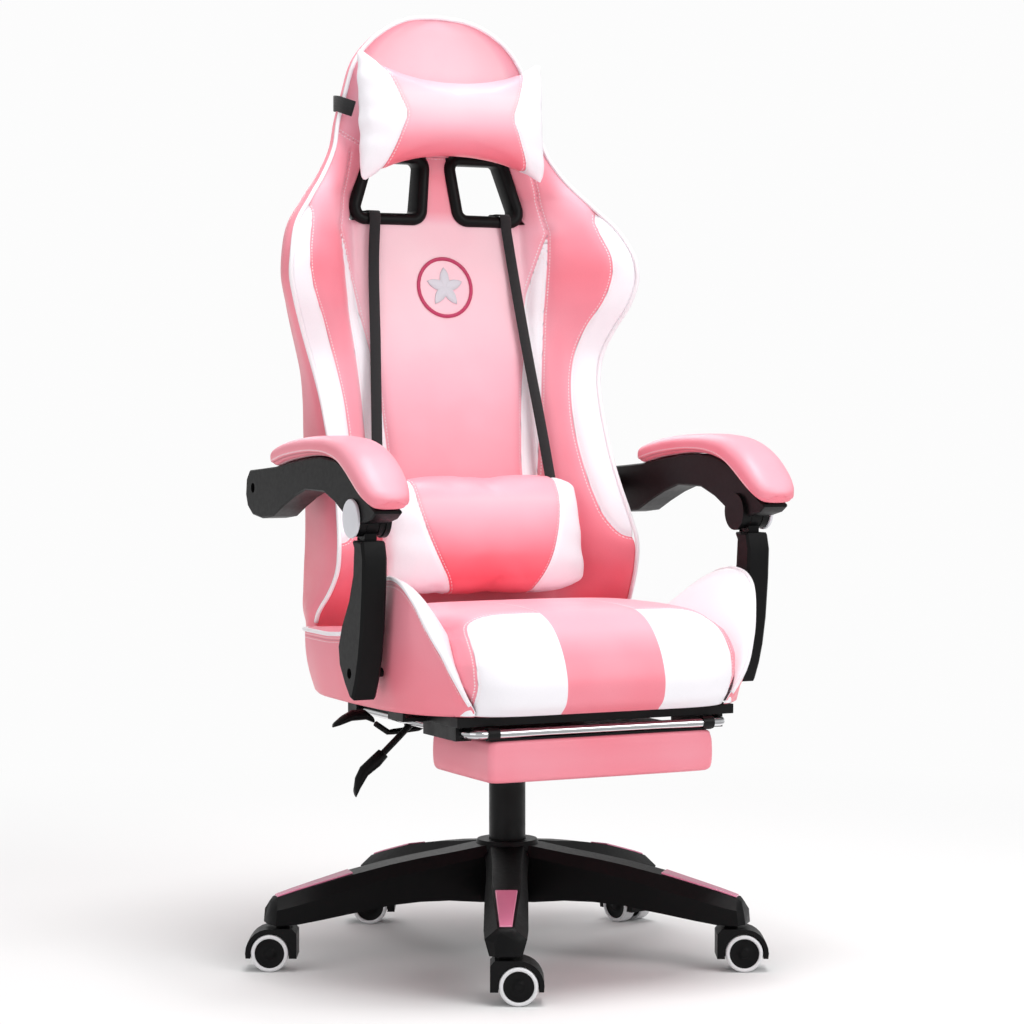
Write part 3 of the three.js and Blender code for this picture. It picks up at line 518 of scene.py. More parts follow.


# Pink leather whose tint is partly print and partly painted highlight and painted shade.
PRINT_AND_PAINTED_LIGHT = leather("leather_print_and_painted_light")
PIPING = leather("leather_piping", srgb(250, 246, 250))
BLACK = moulded("plastic_black", srgb(11, 11, 12), 0.4, 0.28, specular=0.13)
CAP_GREY = moulded("plastic_grey_white", srgb(216, 216, 222), 0.42, 0.12)
WHEEL_WHITE = moulded("plastic_wheel_white", srgb(222, 222, 224), 0.45, 0.15)
TRIM = moulded("plastic_pink_gloss", srgb(224, 130, 163), 0.22, 0.06, 0.6)
STEEL = painted("steel_black", srgb(12, 12, 13), 0.38)
CHROME = polished("chrome", (0.86, 0.87, 0.89, 1.0), 0.05, 0.62)
ZINC = polished("steel_zinc", (0.55, 0.55, 0.57, 1.0), 0.24, 0.1)
WEBBING = woven("webbing_black", srgb(15, 15, 17))
RASPBERRY = leather("thread_raspberry", srgb(190, 44, 92))
SILVER = leather("thread_silver", srgb(214, 212, 220))


# ---------- dressing the CAD nodes ----------

def finish_node(node, material, bevel=0.0, segments=2):
    """Gives a CAD node its material, rounded edges and smooth shading, without touching its shape."""
    obj = frame["nodes"][node]
    obj.data.materials.clear()
    obj.data.materials.append(material)
    if "custom_normal" in obj.data.attributes:
        obj.data.attributes.remove(obj.data.attributes["custom_normal"])
    obj.data.polygons.foreach_set("use_smooth", [True] * len(obj.data.polygons))
    weld = obj.modifiers.new("weld", "WELD")
    weld.merge_threshold = 0.00002
    if bevel:
        rounding = obj.modifiers.new("bevel", "BEVEL")
        rounding.width = bevel * 0.001
        rounding.segments = segments
        rounding.limit_method = "ANGLE"
        rounding.angle_limit = math.radians(32)
        rounding.use_clamp_overlap = True
        rounding.harden_normals = True
    else:
        normals = obj.modifiers.new("normals", "WEIGHTED_NORMAL")
        normals.keep_sharp = True


def new_piece(obj, body, slot, *nodes):
    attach(obj, body)
    if nodes:
        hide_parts(*nodes)
    for name, plain in (("seam", NO_SEAM), ("run", 0.0), ("white", NOT_WHITE), ("tint", 0.5)):
        if name not in obj.data.attributes:
            set_attribute(obj, name, np.full(len(obj.data.vertices), plain))
    return obj


# ---------- backrest ----------

# Height, half width and y of the front edge, y of the front middle, half width and y of the rear.
BACK = (
    (447, 238, 116, 120, 218, 200), (470, 241, 97, 114, 222, 206), (500, 235, 70, 117, 222, 207),
    (530, 231, 52, 124, 221, 208), (560, 230, 48, 132, 218, 212), (600, 225, 62, 143, 214, 220),
    (640, 220, 82, 153, 212, 226), (680, 217, 102, 163, 212, 228), (720, 217, 121, 170, 212, 229),
    (760, 218, 138, 177, 212, 230), (800, 223, 152, 184, 215, 231), (830, 231, 155, 189, 221, 232),
    (860, 243, 147, 195, 228, 233), (900, 261, 128, 203, 236, 235), (930, 269, 122, 208, 240, 236),
    (960, 267, 123, 214, 240, 238), (1000, 253, 143, 221, 232, 240), (1040, 221, 170, 228, 208, 243),
    (1080, 188, 196, 234, 178, 246), (1115, 168, 211, 237, 160, 249), (1150, 159, 220, 238, 150, 252),
    (1190, 147, 223, 238, 138, 254), (1240, 130, 223, 237, 120, 254), (1270, 105, 221, 236, 95, 253),
    (1290, 74, 223, 235, 66, 251), (1300, 46, 228, 236, 40, 248), (1304, 16, 233, 238, 14, 244),
)
BACK_ROWS = hermite(BACK, 250)
# How many points the front, one side and the rear of a section have.
FRONT_POINTS = 135
SIDE_POINTS = 14
REAR_POINTS = 63
# Half widths and heights on one side of the back's front: the inner outline of a headrest
# opening, the white wedge beside the middle panel, and the inner border of the wing's white band.
OPENING = np.array([(37, 1026), (122, 1026), (97, 1098), (28, 1098)], float)
WEDGE = curve([(160, 1003), (146, 960), (135, 920), (127, 862), (114, 790), (106, 700), (104, 640),
               (112, 600),
               (124, 610), (130, 655), (135, 720), (141, 790), (148, 862), (155, 940), (160, 1003)], 90)
BAND_INNER = curve([(226, 1036), (219, 1022), (222, 1004), (232, 968), (232, 940), (222, 905), (203, 868),
                    (187, 825),
                    (178, 780), (174, 730), (176, 680), (182, 630), (192, 592), (207, 572), (235, 566)], 90)
BAND = np.vstack([BAND_INNER, [(300, 566), (300, 1036)]])


def front_y(x, row):
    """y of the back's front at |x|: a crowned panel, a seam valley and a wing, or a dome at the head."""
    _, edge, edge_y, centre_y, _, _ = row
    panel = min(132.0, 0.62 * edge)
    depth = centre_y - edge_y
    valley = 9.0 * smoothstep(25, 70, depth)
    inside = np.clip(np.abs(x) / panel, 0, 1)
    share = np.clip((np.abs(x) - panel) / (edge - panel), 0, 1)
    crown = 4.0 * (1 - inside**2)
    winged = centre_y - crown + valley * inside**5 - (depth + valley) * (1 - (1 - share) ** 1.8)
    across = np.clip(np.abs(x) / edge, 0, 1)
    domed = centre_y - 4.0 * (1 - across**2) - depth * across**3.2
    head = smoothstep(1095, 1160, row[0])
    return winged * (1 - head) + domed * head


def back_ring(row):
    """One horizontal section: the front from right to left hand, side, rear, side."""
    z, edge, edge_y, _, rear, rear_y = row
    rear_y = max(rear_y, edge_y + 12)
    bulge = 14.0
    soft = min(5.0, edge * 0.3)
    x = np.linspace(-1, 1, FRONT_POINTS) * (edge - soft)
    front = np.stack([x, front_y(x, row)], 1)
    edge_low = front_y(np.array([edge - soft]), row)[0]
    s = np.linspace(0, 1, SIDE_POINTS + 2)[1:-1]
    corner_y = max(rear_y - 14, edge_y + 10)
    bend = smoothstep(0, 0.22, s)
    side_x = edge - soft + soft * bend + (rear + 2 - edge) * smoothstep(0.1, 1, s) + 3.5 * np.sin(np.pi * s)
    side_y = edge_low + (corner_y - edge_low) * s**0.95
    side = np.stack([side_x, side_y], 1)
    half = max(rear - 2, 2.0)
    turn = np.linspace(1, -1, REAR_POINTS)
    rear_line = np.stack([half * np.sign(turn) * np.abs(turn) ** 0.85,
                          rear_y + bulge * (1 - turn**2) - 14 * np.abs(turn) ** 9], 1)
    mirrored = side[::-1] * [-1, 1]
    flat = np.vstack([front, side, rear_line, mirrored])
    return np.column_stack([flat, np.full(len(flat), z)])


ON_FRONT, ON_SIDE, ON_REAR = range(3)


def make_back():
    grid = np.array([back_ring(row) for row in BACK_ROWS])
    cover = skin("back_cover", grid, PRINT_AND_PAINTED_LIGHT)
    points = capped(grid)
    columns = grid.shape[1]
    rear_start = FRONT_POINTS + SIDE_POINTS
    kind = np.full(columns, ON_SIDE)
    kind[:FRONT_POINTS] = ON_FRONT
    kind[rear_start:rear_start + REAR_POINTS] = ON_REAR
    kind = np.append(np.tile(kind, grid.shape[0]), [ON_SIDE, ON_FRONT])
    edge = np.append(np.repeat(BACK_ROWS[:, 1], columns), [200, 10])
    flat = np.stack([np.abs(points[:, 0]), points[:, 2]], 1)
    white = np.maximum(inside_distance(flat, WEDGE), inside_distance(flat, BAND))
    white[kind != ON_FRONT] = NOT_WHITE
    set_attribute(cover, "white", white)
    set_attribute(cover, "tint", back_tint(flat, kind, edge))
    front = np.where((kind == ON_FRONT)[:, None], flat, AWAY)
    rear = np.where((kind == ON_REAR)[:, None], flat, AWAY)
    seams = [(front, WEDGE), (front, BAND_INNER),
             (front, [(160, 1003), (150, 1060), (138, 1110)]),
             (front, curve([(0, 1108), (60, 1112), (120, 1122), (160, 1140)], 20)),
             (rear, [(118, 470), (118, 900), (100, 1010)]), (rear, [(0, 1010), (100, 1010), (225, 1004)])]
    sewn(cover, seams, 1.6, 3.0)
    push(cover, -2.2 * np.exp(-(np.abs(np.where(kind == ON_FRONT, white, NO_SEAM)) / 9.0) ** 2))
    open_headrest(cover)
    new_piece(cover, "back", "pink_leather", "back_upholstery")


def back_tint(flat, kind, edge):
    """How deep the pink is: pale in the middle panel and at the head, coral on the wings; the pale band high
    on the wings is a painted highlight and the pink of the sides is painted shade.
    """
    x, z = flat.T
    centre = np.interp(z, [600, 700, 800, 880, 960, 1010, 1030, 1080, 1100],
                       [0.66, 0.5, 0.3, 0.16, 0.1, 0.14, 0.55, 0.66, 0.5])
    # painted highlight: the wings' pink pales at z 1030 to 1090, high on the shoulders
    wing = np.interp(z, [480, 560, 640, 720, 800, 880, 940, 990, 1030, 1060, 1090, 1130],
                     [0.92, 0.78, 0.64, 0.58, 0.58, 0.62, 0.72, 0.66, 0.45, 0.28, 0.35, 0.5])
    near = np.interp(z, [1000, 1030, 1060, 1100], [0.34, 0.5, 0.6, 0.55])
    outside = smoothstep(118, 170, x)
    tint = centre * (1 - outside) + wing * outside
    beside = smoothstep(990, 1020, z) * smoothstep(115, 130, x) * (1 - smoothstep(160, 190, x))
    tint = tint * (1 - beside) + near * beside
    rim = smoothstep(42, 4, edge - x)
    head = smoothstep(1080, 1120, z)
    top = np.interp(z, [1100, 1180, 1230, 1285, 1304], [0.5, 0.22, 0.1, 0.2, 0.4])
    tint = tint * (1 - head) + np.maximum(top, 0.46 * rim) * head
    # painted shade: the sides get a deep pink of their own, from 0.76 low down to 0.52 at the top
    tint = np.where(kind == ON_SIDE, np.interp(z, [450, 700, 1000, 1200], [0.76, 0.7, 0.62, 0.52]), tint)
    return np.where(kind == ON_REAR, np.interp(z, [450, 1300], [0.62, 0.42]), tint)


def open_headrest(cover):
    """Opens the cover inside the two bezels, whose rings hide its cut edge."""
    middle = OPENING.mean(0)
    grown = middle + (OPENING - middle) * (1 + 11.0 / np.array([38.0, 36.0]))
    bm = bmesh.new()
    bm.from_mesh(cover.data)
    bm.faces.ensure_lookup_table()
    centres = np.array([f.calc_center_median() for f in bm.faces])
    centres = (centres - LIFT_AXIS) * 1000
    flat = np.stack([np.abs(centres[:, 0]), centres[:, 2]], 1)
    gone = inside_distance(flat, grown) > 0
    doomed = [f for f, out in zip(bm.faces, gone) if out]
    bmesh.ops.delete(bm, geom=doomed, context="FACES")
    bm.to_mesh(cover.data)
    bm.free()


def rounded_outline(corners, radius, steps=8):
    """Points and outward normals round a convex polygon whose corners are arcs."""
    points, normals = [], []
    count = len(corners)
    for i in range(count):
        here, before, after = corners[i], corners[i - 1], corners[(i + 1) % count]
        a = (before - here) / np.linalg.norm(before - here)
        b = (after - here) / np.linalg.norm(after - here)
        half = math.acos(float(a @ b)) / 2
        centre = here + (a + b) / np.linalg.norm(a + b) * radius / math.sin(half)
        start = here + a * radius / math.tan(half) - centre
        end = here + b * radius / math.tan(half) - centre
        for k in range(steps + 1):
            way = start * (1 - k / steps) + end * (k / steps)
            way /= np.linalg.norm(way)
            points.append(centre + way * radius)
            normals.append(way)
    return np.array(points), np.array(normals)


def make_bezels():
    """Moulded rings through the back, proud of the leather in front and behind.

    section holds the distance out from the opening, 0 at the front or 1 at the rear, and depth.
    """
    inner, normals = rounded_outline(OPENING, 7.0)
    section = ((0.0, 1.0, 0.0), (0.3, 0.0, 3.0), (2.5, 0.0, 0.4), (6.0, 0.0, -1.6), (10.5, 0.0, -1.8),
               (14.5, 0.0, 0.2), (16.8, 0.0, 3.4), (17.2, 0.0, 8.0), (15.0, 0.0, 24.0), (12.0, 1.0, -12.0),
               (13.6, 1.0, -3.0), (13.0, 1.0, 3.4), (9.0, 1.0, 5.0), (3.5, 1.0, 4.6), (0.8, 1.0, 2.6))
    rings = []
    for point, normal in zip(inner, normals):
        ring = []
        for out, rear, deep in section:
            x, z = point + normal * out
            row = BACK_ROWS[np.argmin(np.abs(BACK_ROWS[:, 0] - z))]
            front = min(float(front_y(np.array([x]), row)[0]), row[3] + 2) - 6.0
            ring.append((x, (row[5] + 9.0) * rear + front * (1 - rear) + deep, z))
        rings.append(ring)
    grid = np.array(rings)
    for side, sign in SIDES:
        ring = hoop("bezel_" + side, grid * [sign, 1, 1], BLACK)
        new_piece(ring, "back", "black_plastic", "headrest_bezel_" + side)


def make_back_piping():
    rows = BACK_ROWS[::3]
    edge = np.array([(row[1] - 2.0, row[2] - 0.5, row[0]) for row in rows if row[0] > 452])
    edge[:, 2] += np.interp(edge[:, 2], [1280, 1304], [0, 2.0])
    path = curve(np.vstack([edge * [-1, 1, 1], edge[::-1]]), 420)
    cord = tube("back_piping", path, 3.1, PIPING, 10)
    new_piece(cord, "back", "white_leather")


def surface_y(x, z):
    k = np.argmin(np.abs(BACK_ROWS[:, 0] - z))
    return float(front_y(np.array([x]), BACK_ROWS[k])[0])


def make_emblem():
    """A plain ring round a five-pointed star, sewn on the middle of the back."""
    centre_z, ring = 921.0, 41.0
    angle = np.arange(96) * 2 * np.pi / 96
    path = np.array([(ring * math.cos(a), surface_y(ring * math.cos(a), centre_z + ring * math.sin(a)) - 1.0,
                      centre_z + ring * math.sin(a)) for a in angle])
    across = np.arange(10) * 2 * np.pi / 10
    out = np.stack([np.cos(angle), np.zeros_like(angle), np.sin(angle)], 1)
    grid = (path[:, None] + 2.6 * np.cos(across)[None, :, None] * out[:, None]
            + 1.0 * np.sin(across)[None, :, None] * np.array([0, -1.0, 0]))
    new_piece(hoop("emblem_ring", grid, RASPBERRY), "back", "pink_leather")
    rings = []
    for scale, lift in ((1.0, 0.2), (0.99, -1.0), (0.9, -1.7), (0.45, -2.3), (0.05, -2.5)):
        row = []
        for k in range(60):
            a = 2 * np.pi * k / 60 + np.pi / 2
            wave = abs(((k / 60 * 5) % 1) - 0.5) * 2
            r = (12.5 + (29.0 - 12.5) * wave**1.15) * scale
            x, z = r * math.cos(a), r * math.sin(a) + centre_z
            row.append((x, surface_y(x, z) + lift, z))
        rings.append(row)
    star = skin("emblem_star", np.array(rings), SILVER)
    new_piece(star, "back", "white_leather")


# ---------- seat ----------

SEAT_MIDDLE = curve([(0, 104, 447), (0, 90, 453), (0, 60, 471), (0, 20, 484), (0, -40, 489), (0, -120, 491),
                     (0, -190, 491), (0, -240, 487), (0, -273, 473), (0, -297, 450), (0, -312, 424),
                     (0, -318, 398), (0, -313, 377), (0, -298, 363)], 130)
SEAT_SIDE = curve([(0, 104, 446), (0, 88, 449), (0, 58, 458), (0, 20, 467), (0, -40, 472), (0, -120, 472),
                   (0, -180, 472), (0, -222, 468), (0, -246, 457), (0, -261, 442), (0, -270, 422),
                   (0, -277, 400), (0, -279, 380), (0, -274, 364)], 130)


SEAT_TOP = len(SEAT_MIDDLE)
SEAT_UNDER = 26
SEAT_ROWS = 121
SEAT_LOW = 362.6


def make_seat():
    arc = np.concatenate([[0], np.cumsum(np.linalg.norm(np.diff(SEAT_MIDDLE, axis=0), axis=1))])
    width = np.interp(SEAT_MIDDLE[:, 2], [362, 372, 400, 430, 465, 480], [179, 184, 196, 202, 198, 190])
    width[:60] = 190
    rows = []
    for u in np.linspace(-1, 1, SEAT_ROWS):
        pull = abs(u) ** 8
        top = SEAT_MIDDLE * (1 - pull) + SEAT_SIDE * pull
        top[:, 0] = u * width
        crown = 2.5 * np.cos(np.clip(u, -1, 1) * np.pi / 2)
        top[20:85, 2] += crown * np.sin(np.linspace(0, np.pi, 65))
        under = np.linspace(top[-1] * [1, 1, 0] + [0, 4, SEAT_LOW], top[0] * [1, 1, 0] + [0, -3, SEAT_LOW],
                            SEAT_UNDER)
        rows.append(np.vstack([top, under]))
    grid = np.array(rows)
    seat = skin("seat_cover", grid, PRINT_AND_PAINTED_LIGHT)
    columns = grid.shape[1]
    on_top = np.append(np.tile(np.arange(columns) < SEAT_TOP, SEAT_ROWS), [False, False])
    arcs = np.append(np.tile(np.concatenate([arc, np.full(SEAT_UNDER, arc[-1] + 60)]), SEAT_ROWS), [0, 0])
    flat = np.stack([np.abs(capped(grid)[:, 0]), arcs], 1)
    start = np.interp(232, -SEAT_MIDDLE[:, 1][:100], arc[:100])
    end = arc[-1] + 14
    patch = curve([(70, start), (110, start), (146, start + 4), (168, start + 18), (179, start + 44),
                   (184, start + 90), (184, start + 130), (178, end), (70, end)], 80)
    patch = np.vstack([[(70, start)], patch[1:-1], [(70, end)]])
    white = inside_distance(flat, patch)
    white[~on_top] = NOT_WHITE
    set_attribute(seat, "white", white)
    x = flat[:, 0]
    lengthwise = np.interp(arcs, [0, 60, start - 60, start, start + 55, start + 95, start + 160, end],
                           [0.6, 0.42, 0.3, 0.3, 0.4, 0.62, 0.72, 0.8])
    margin = smoothstep(158, 186, x) * smoothstep(start - 90, start - 20, arcs)
    set_attribute(seat, "tint", np.where(on_top, lengthwise * (1 - margin) + 0.62 * margin, 0.72))
    shown = np.where(on_top[:, None], flat, AWAY)
    sewn(seat, [(shown, patch), (shown, [(0, start - 175), (120, start - 175), (190, start - 168)]),
                (shown, [(70, start - 175), (70, start)])], 1.7, 3.2)
    new_piece(seat, "seat", "pale_leather", "seat_cushion")


# Rim, bottom edge and inner foot of a seat wing, from the rear to the front corner.
WING = (
    (254, 107, 448, 240, 105, 366, 226, 100, 446), (256, 60, 448, 250, 60, 364, 214, 60, 447),
    (257, 0, 449, 252, 0, 363, 200, 0, 452), (256, -38, 454, 252, -40, 362.6, 191, -40, 462),
    (254, -62, 469, 252, -70, 362.6, 187, -62, 468), (252, -84, 494, 251, -100, 362.6, 185, -86, 470),
    (251, -113, 517, 250, -130, 362.6, 185, -111, 471), (251, -153, 530, 248, -160, 362.6, 185, -150, 471),
    (251, -188, 532, 244, -185, 362.6, 186, -180, 470), (251, -211, 527, 238, -205, 362.6, 188, -203, 467),
    (249, -229, 516, 232, -220, 362.6, 191, -221, 461), (244, -243, 500, 226, -232, 362.6, 194, -237, 451),
    (238, -254, 480, 218, -243, 362.6, 198, -251, 440), (230.5, -265, 459, 210, -252, 362.6, 200, -262, 428),
    (222, -274, 440, 203, -260, 362.6, 199, -270, 416), (214, -280, 420, 197, -266, 362.6, 196, -276, 402),
    (204, -283, 401, 192, -270, 362.6, 192, -280, 390), (194, -282, 385, 187, -273, 362.6, 187, -282, 379),
    (184, -281, 371, 182, -276, 362.6, 181, -281, 369),
)


def make_wings():
    """The raised sides of the seat, their piping, and the plain wall that closes the seat's rear."""
    table = np.array(WING, float)
    t = np.concatenate([[0], np.cumsum(np.linalg.norm(np.diff(table[:, :3], axis=0), axis=1))])
    stations = hermite_at(t, table, np.linspace(0, t[-1], 150))
    rows, marks = [], []
    for station in stations:
        rim, foot, inner = station[:3], station[3:6], station[6:]
        s = np.linspace(0, 1, 26)[:, None]
        size = np.linalg.norm(rim - inner)
        outer = foot + (rim - foot) * s
        outer[:, 0] += 4.5 * np.sin(np.pi * s[:, 0]) * min(1.0, np.linalg.norm(rim - foot) / 60)
        inward = rim + (inner - rim) * s
        lift = min(size * 0.2, 11.0)
        puffed = np.sin(np.pi * s[:, 0] ** 0.7)
        inward[:, 2] += lift * puffed
        inward[:, 1] -= 0.25 * lift * puffed
        base_inner = np.array([inner[0] - 2, inner[1] + 4, 364.0])
        down = inner + (base_inner - inner) * np.linspace(0, 1, 8)[1:, None]
        under = base_inner + (foot - base_inner) * np.linspace(0, 1, 8)[1:-1, None]
        rows.append(np.vstack([outer, inward[1:], down, under]))
        out_from_rim = -np.linalg.norm(outer - rim, axis=1)
        in_from_rim = np.linalg.norm(inward[1:] - rim, axis=1)
        marks.append(np.concatenate([out_from_rim, in_from_rim, np.full(len(down), 60.0),
                                     np.full(len(under), -60.0)]))
    grid, marks = np.array(rows), np.array(marks)
    for side, sign in SIDES:
        wing = skin("seat_wing_" + side, grid * [sign, 1, 1], PRINT_AND_PAINTED_LIGHT)
        across = np.append(marks.ravel(), [-20, 0])
        points = capped(grid)
        set_attribute(wing, "white", np.where(points[:, 1] > -30, NOT_WHITE, across - 1.0))
        set_attribute(wing, "tint", np.interp(points[:, 2], [362, 450, 530], [0.74, 0.66, 0.6]))
        run = np.append(np.repeat(np.linspace(0, t[-1], 150), grid.shape[1]), [0, 0])
        tip = np.append(np.repeat(stations[:, 2] < 400, grid.shape[1]), [False, True])
        set_attribute(wing, "seam", np.where(tip, NO_SEAM, np.abs(across + 7.0)))
        set_attribute(wing, "run", run)
        new_piece(wing, "seat", "white_leather", "seat_bolster_" + side)
        rim_path = stations[::3, :3] + [1.0, 0, 1.2]
        cord = tube("seat_piping_" + side, curve(rim_path * [sign, 1, 1], 260), 3.0, PIPING, 10)
        new_piece(cord, "seat", "white_leather")
    rear = curve([(-252, 107, 449.5), (-244, 111, 449.5), (-120, 112.5, 449.5), (0, 113, 449.5),
                  (120, 112.5, 449.5), (244, 111, 449.5), (252, 107, 449.5)], 90)
    new_piece(tube("seat_piping_rear", rear, 3.0, PIPING, 10), "seat", "white_leather")
    section = ((104, 364), (110, 366), (112, 385), (113, 410), (112.5, 440), (111, 447), (104, 449))
    wall = [[(x, y, z) for y, z in section] for x in np.linspace(-238, 238, 60)]
    skirt = skin("seat_skirt_rear", np.array(wall), PRINT_AND_PAINTED_LIGHT)
    set_attribute(skirt, "tint", np.full(len(skirt.data.vertices), 0.7))
    new_piece(skirt, "seat", "pink_leather")


# ---------- pillows ----------

def pillow_grid(half_width, height_at, depth_at, lean, centre, inset, taller=0.0):
    """Rings of a pillow that lies across X, drawn slightly small so that it can swell.

    taller is the extra half height of the pillow's right-hand end.
    """
    rows = []
    for s in np.sin(np.linspace(-np.pi / 2, np.pi / 2, 60)):
        t = abs(s)
        angle = (np.arange(64) + 0.5) * 2 * np.pi / 64
        c, w = np.cos(angle), np.sin(angle)
        y = (depth_at(t) - inset) * np.sign(c) * np.abs(c) ** 0.8
        z = (height_at(t) + taller * t**2 * (s < 0) - inset) * np.sign(w) * np.abs(w) ** 0.8
        rows.append(np.stack([np.full(64, s * (half_width - inset)), y, z], 1))
    grid = np.array(rows)
    turn = np.array(Matrix.Rotation(math.radians(lean), 3, "X"))
    return grid @ turn.T + centre, turn


def dress_pillow(obj, turn, centre, border, levels, tints):
    """White ends outside the border, tints by height, and grooves at the border and round the rim."""
    local = (chair_points(obj) - centre) @ turn
    flat = np.stack([np.abs(local[:, 0]), local[:, 2]], 1)
    outline = np.vstack([border, [(400, border[-1][1] - 60), (400, border[0][1] + 60)]])
    set_attribute(obj, "white", inside_distance(flat, outline))
    set_attribute(obj, "tint", np.interp(local[:, 2], levels, tints))
    rear = local[:, 1] > 4
    front = np.where(rear[:, None], AWAY, flat)
    gap, along = line_distance(front, border)
    rim = np.abs(local[:, 1] - 6)
    set_attribute(obj, "seam", np.minimum(gap, rim))
    run = np.where(gap < rim, along, np.arctan2(local[:, 2], local[:, 0]) * 120)
    set_attribute(obj, "run", run)
    push(obj, -1.7 * np.exp(-((gap / 3.4) ** 2)) - 2.0 * np.exp(-((rim / 3.0) ** 2)))


def wrinkle(obj, local, amount, spread, seed):
    """Soft folds that run in from the ends, fixed by the seed."""
    rng = np.random.default_rng(seed)
    total = np.zeros(len(local))
    for _ in range(7):
        phase, lean, length = rng.uniform(0, 6.28), rng.uniform(-0.35, 0.35), rng.uniform(30, 55)
        total += np.sin((local[:, 2] + lean * local[:, 0]) * 2 * np.pi / length + phase)
    ends = smoothstep(spread * 0.45, spread, np.abs(local[:, 0]))
    push(obj, amount * total / 7 * ends)


def make_pillow(node, grid, turn, centre, swell, folds, border, tints, slot):
    """A pillow in its node's place, from rings that are swollen, folded at the ends and sewn.

    swell is puff's voxel, pressure and cap, folds is wrinkle's amount, spread and seed, and tints
    has rows of height above the middle and tint.
    """
    cover = puff(skin(node + "_cover", grid, PRINT_AND_PAINTED_LIGHT), *swell)
    subdivide(cover)
    wrinkle(cover, (chair_points(cover) - centre) @ turn, *folds)
    dress_pillow(cover, turn, centre, border, *np.transpose(tints))
    new_piece(cover, "back", slot, node)


def make_lumbar():
    centre = np.array([0.0, 79.0, 574.0])

    def height(t):
        return 91 * (1 - 0.2 * t**4)

    def depth(t):
        return 44 * math.sqrt(max(0.03, 1 - t**5))

    grid, turn = pillow_grid(157, height, depth, -13, centre, 4.0)
    border = curve([(112, 110), (111, 70), (107, 30), (98, -8), (84, -45), (64, -80), (50, -105)], 40)
    # partly print and partly painted light: pale above the middle as a painted highlight, deep coral below as
    # painted shade
    tints = ((-92, 0.85), (-66, 0.98), (-40, 0.88), (-10, 0.62), (20, 0.36), (42, 0.24), (68, 0.45),
             (90, 0.66))
    make_pillow("lumbar_pillow", grid, turn, centre, (5, 4.0, 7.0), (1.6, 150, 4), border, tints,
                "pink_leather")


def make_head_pillow():
    centre = np.array([2.0, 184.0, 1157.0])

    def height(t):
        return 60 + 35 * t**2.2 - 5 * smoothstep(0.95, 1.0, t)

    def depth(t):
        return 36 * math.sqrt(max(0.03, 1 - t**3))

    grid, turn = pillow_grid(151, height, depth, -4, centre, 3.0, 7.0)
    border = curve([(126, 110), (108, 66), (91, 24), (83, 2), (92, -26), (108, -66), (122, -110)], 50)
    # partly print and partly painted light: pale above the middle as a painted highlight, deep coral below as
    # painted shade
    tints = ((-80, 0.85), (-55, 0.8), (-34, 0.62), (-8, 0.3), (14, 0.12), (30, 0.1), (52, 0.3), (75, 0.45))
    make_pillow("head_pillow", grid, turn, centre, (4.5, 3.5, 5.0), (1.5, 140, 9), border, tints,
                "pale_leather")


# ---------- straps ----------

def band(name, path, across, half, thick, body, *nodes):
    """Flat webbing along a path; `across` is the direction of its width at each point."""
    across = np.broadcast_to(np.asarray(across, float), path.shape)
    tangent = np.gradient(path, axis=0)
    tangent /= np.linalg.norm(tangent, axis=1)[:, None]
    wide = across - tangent * np.sum(across * tangent, 1)[:, None]
    wide /= np.linalg.norm(wide, axis=1)[:, None]
    deep = np.cross(tangent, wide)
    section = np.array([(-1, -0.6), (-0.94, -1), (0.94, -1), (1, -0.6), (1, 0.6), (0.94, 1), (-0.94, 1),
                        (-1, 0.6)])
    grid = (path[:, None] + half * section[None, :, :1] * wide[:, None]
            + thick / 2 * section[None, :, 1:] * deep[:, None])
    return new_piece(skin(name, grid, WEBBING), body, "webbing", *nodes)


def make_straps():
    for side, sign in SIDES:
        top = [(101, 262, 1010), (101, 261, 1021), (101, 254, 1028), (101, 240, 1028.4), (101, 225, 1028.2),
               (102, 217, 1026.5), (102.5, 214.6, 1019), (103, 214.4, 1006), (105, 212, 988),
               (118, 178.5, 834), (130, 146, 700), (133, 138, 664), (134, 130, 640)]
        path = curve(np.array(top, float) * [sign, 1, 1], 90)
        band("lumbar_webbing_" + side, path, (1, 0, 0), 8, 1.8, "back", "lumbar_strap_" + side)
    loop = [(143, 196, 1167), (151, 205, 1171), (155.5, 221, 1176), (155, 238, 1178), (147, 253, 1179),
            (130, 264, 1180), (70, 272.5, 1180), (0, 276, 1180)]
    loop = np.array(loop, float)
    path = curve(np.vstack([loop, (loop * [-1, 1, 1])[::-1][1:]]), 150)
    band("head_webbing", path, (0, 0, 1), 11, 2.0, "back", "head_strap")


# ---------- armrests and footrest ----------

# y, lowest and highest z, and half width of the armrest pad from rear to front.
ARM_PAD = (
    (104, 680, 686, 12), (101, 674, 692, 22), (94, 671.6, 696, 27.5), (78, 673.5, 700.5, 30),
    (50, 678.4, 706, 31),
    (0, 684.2, 711.5, 31), (-60, 687.3, 714, 31), (-110, 683.6, 713.5, 31.5), (-148, 673.4, 709.5, 32.5),
    (-175, 659.4, 702, 33.5), (-198, 645, 691, 34), (-216, 634, 678, 33.5), (-232, 626, 664, 31),
    (-243, 623.5, 652, 26), (-250, 626, 644, 18), (-253, 631, 639, 8),
)


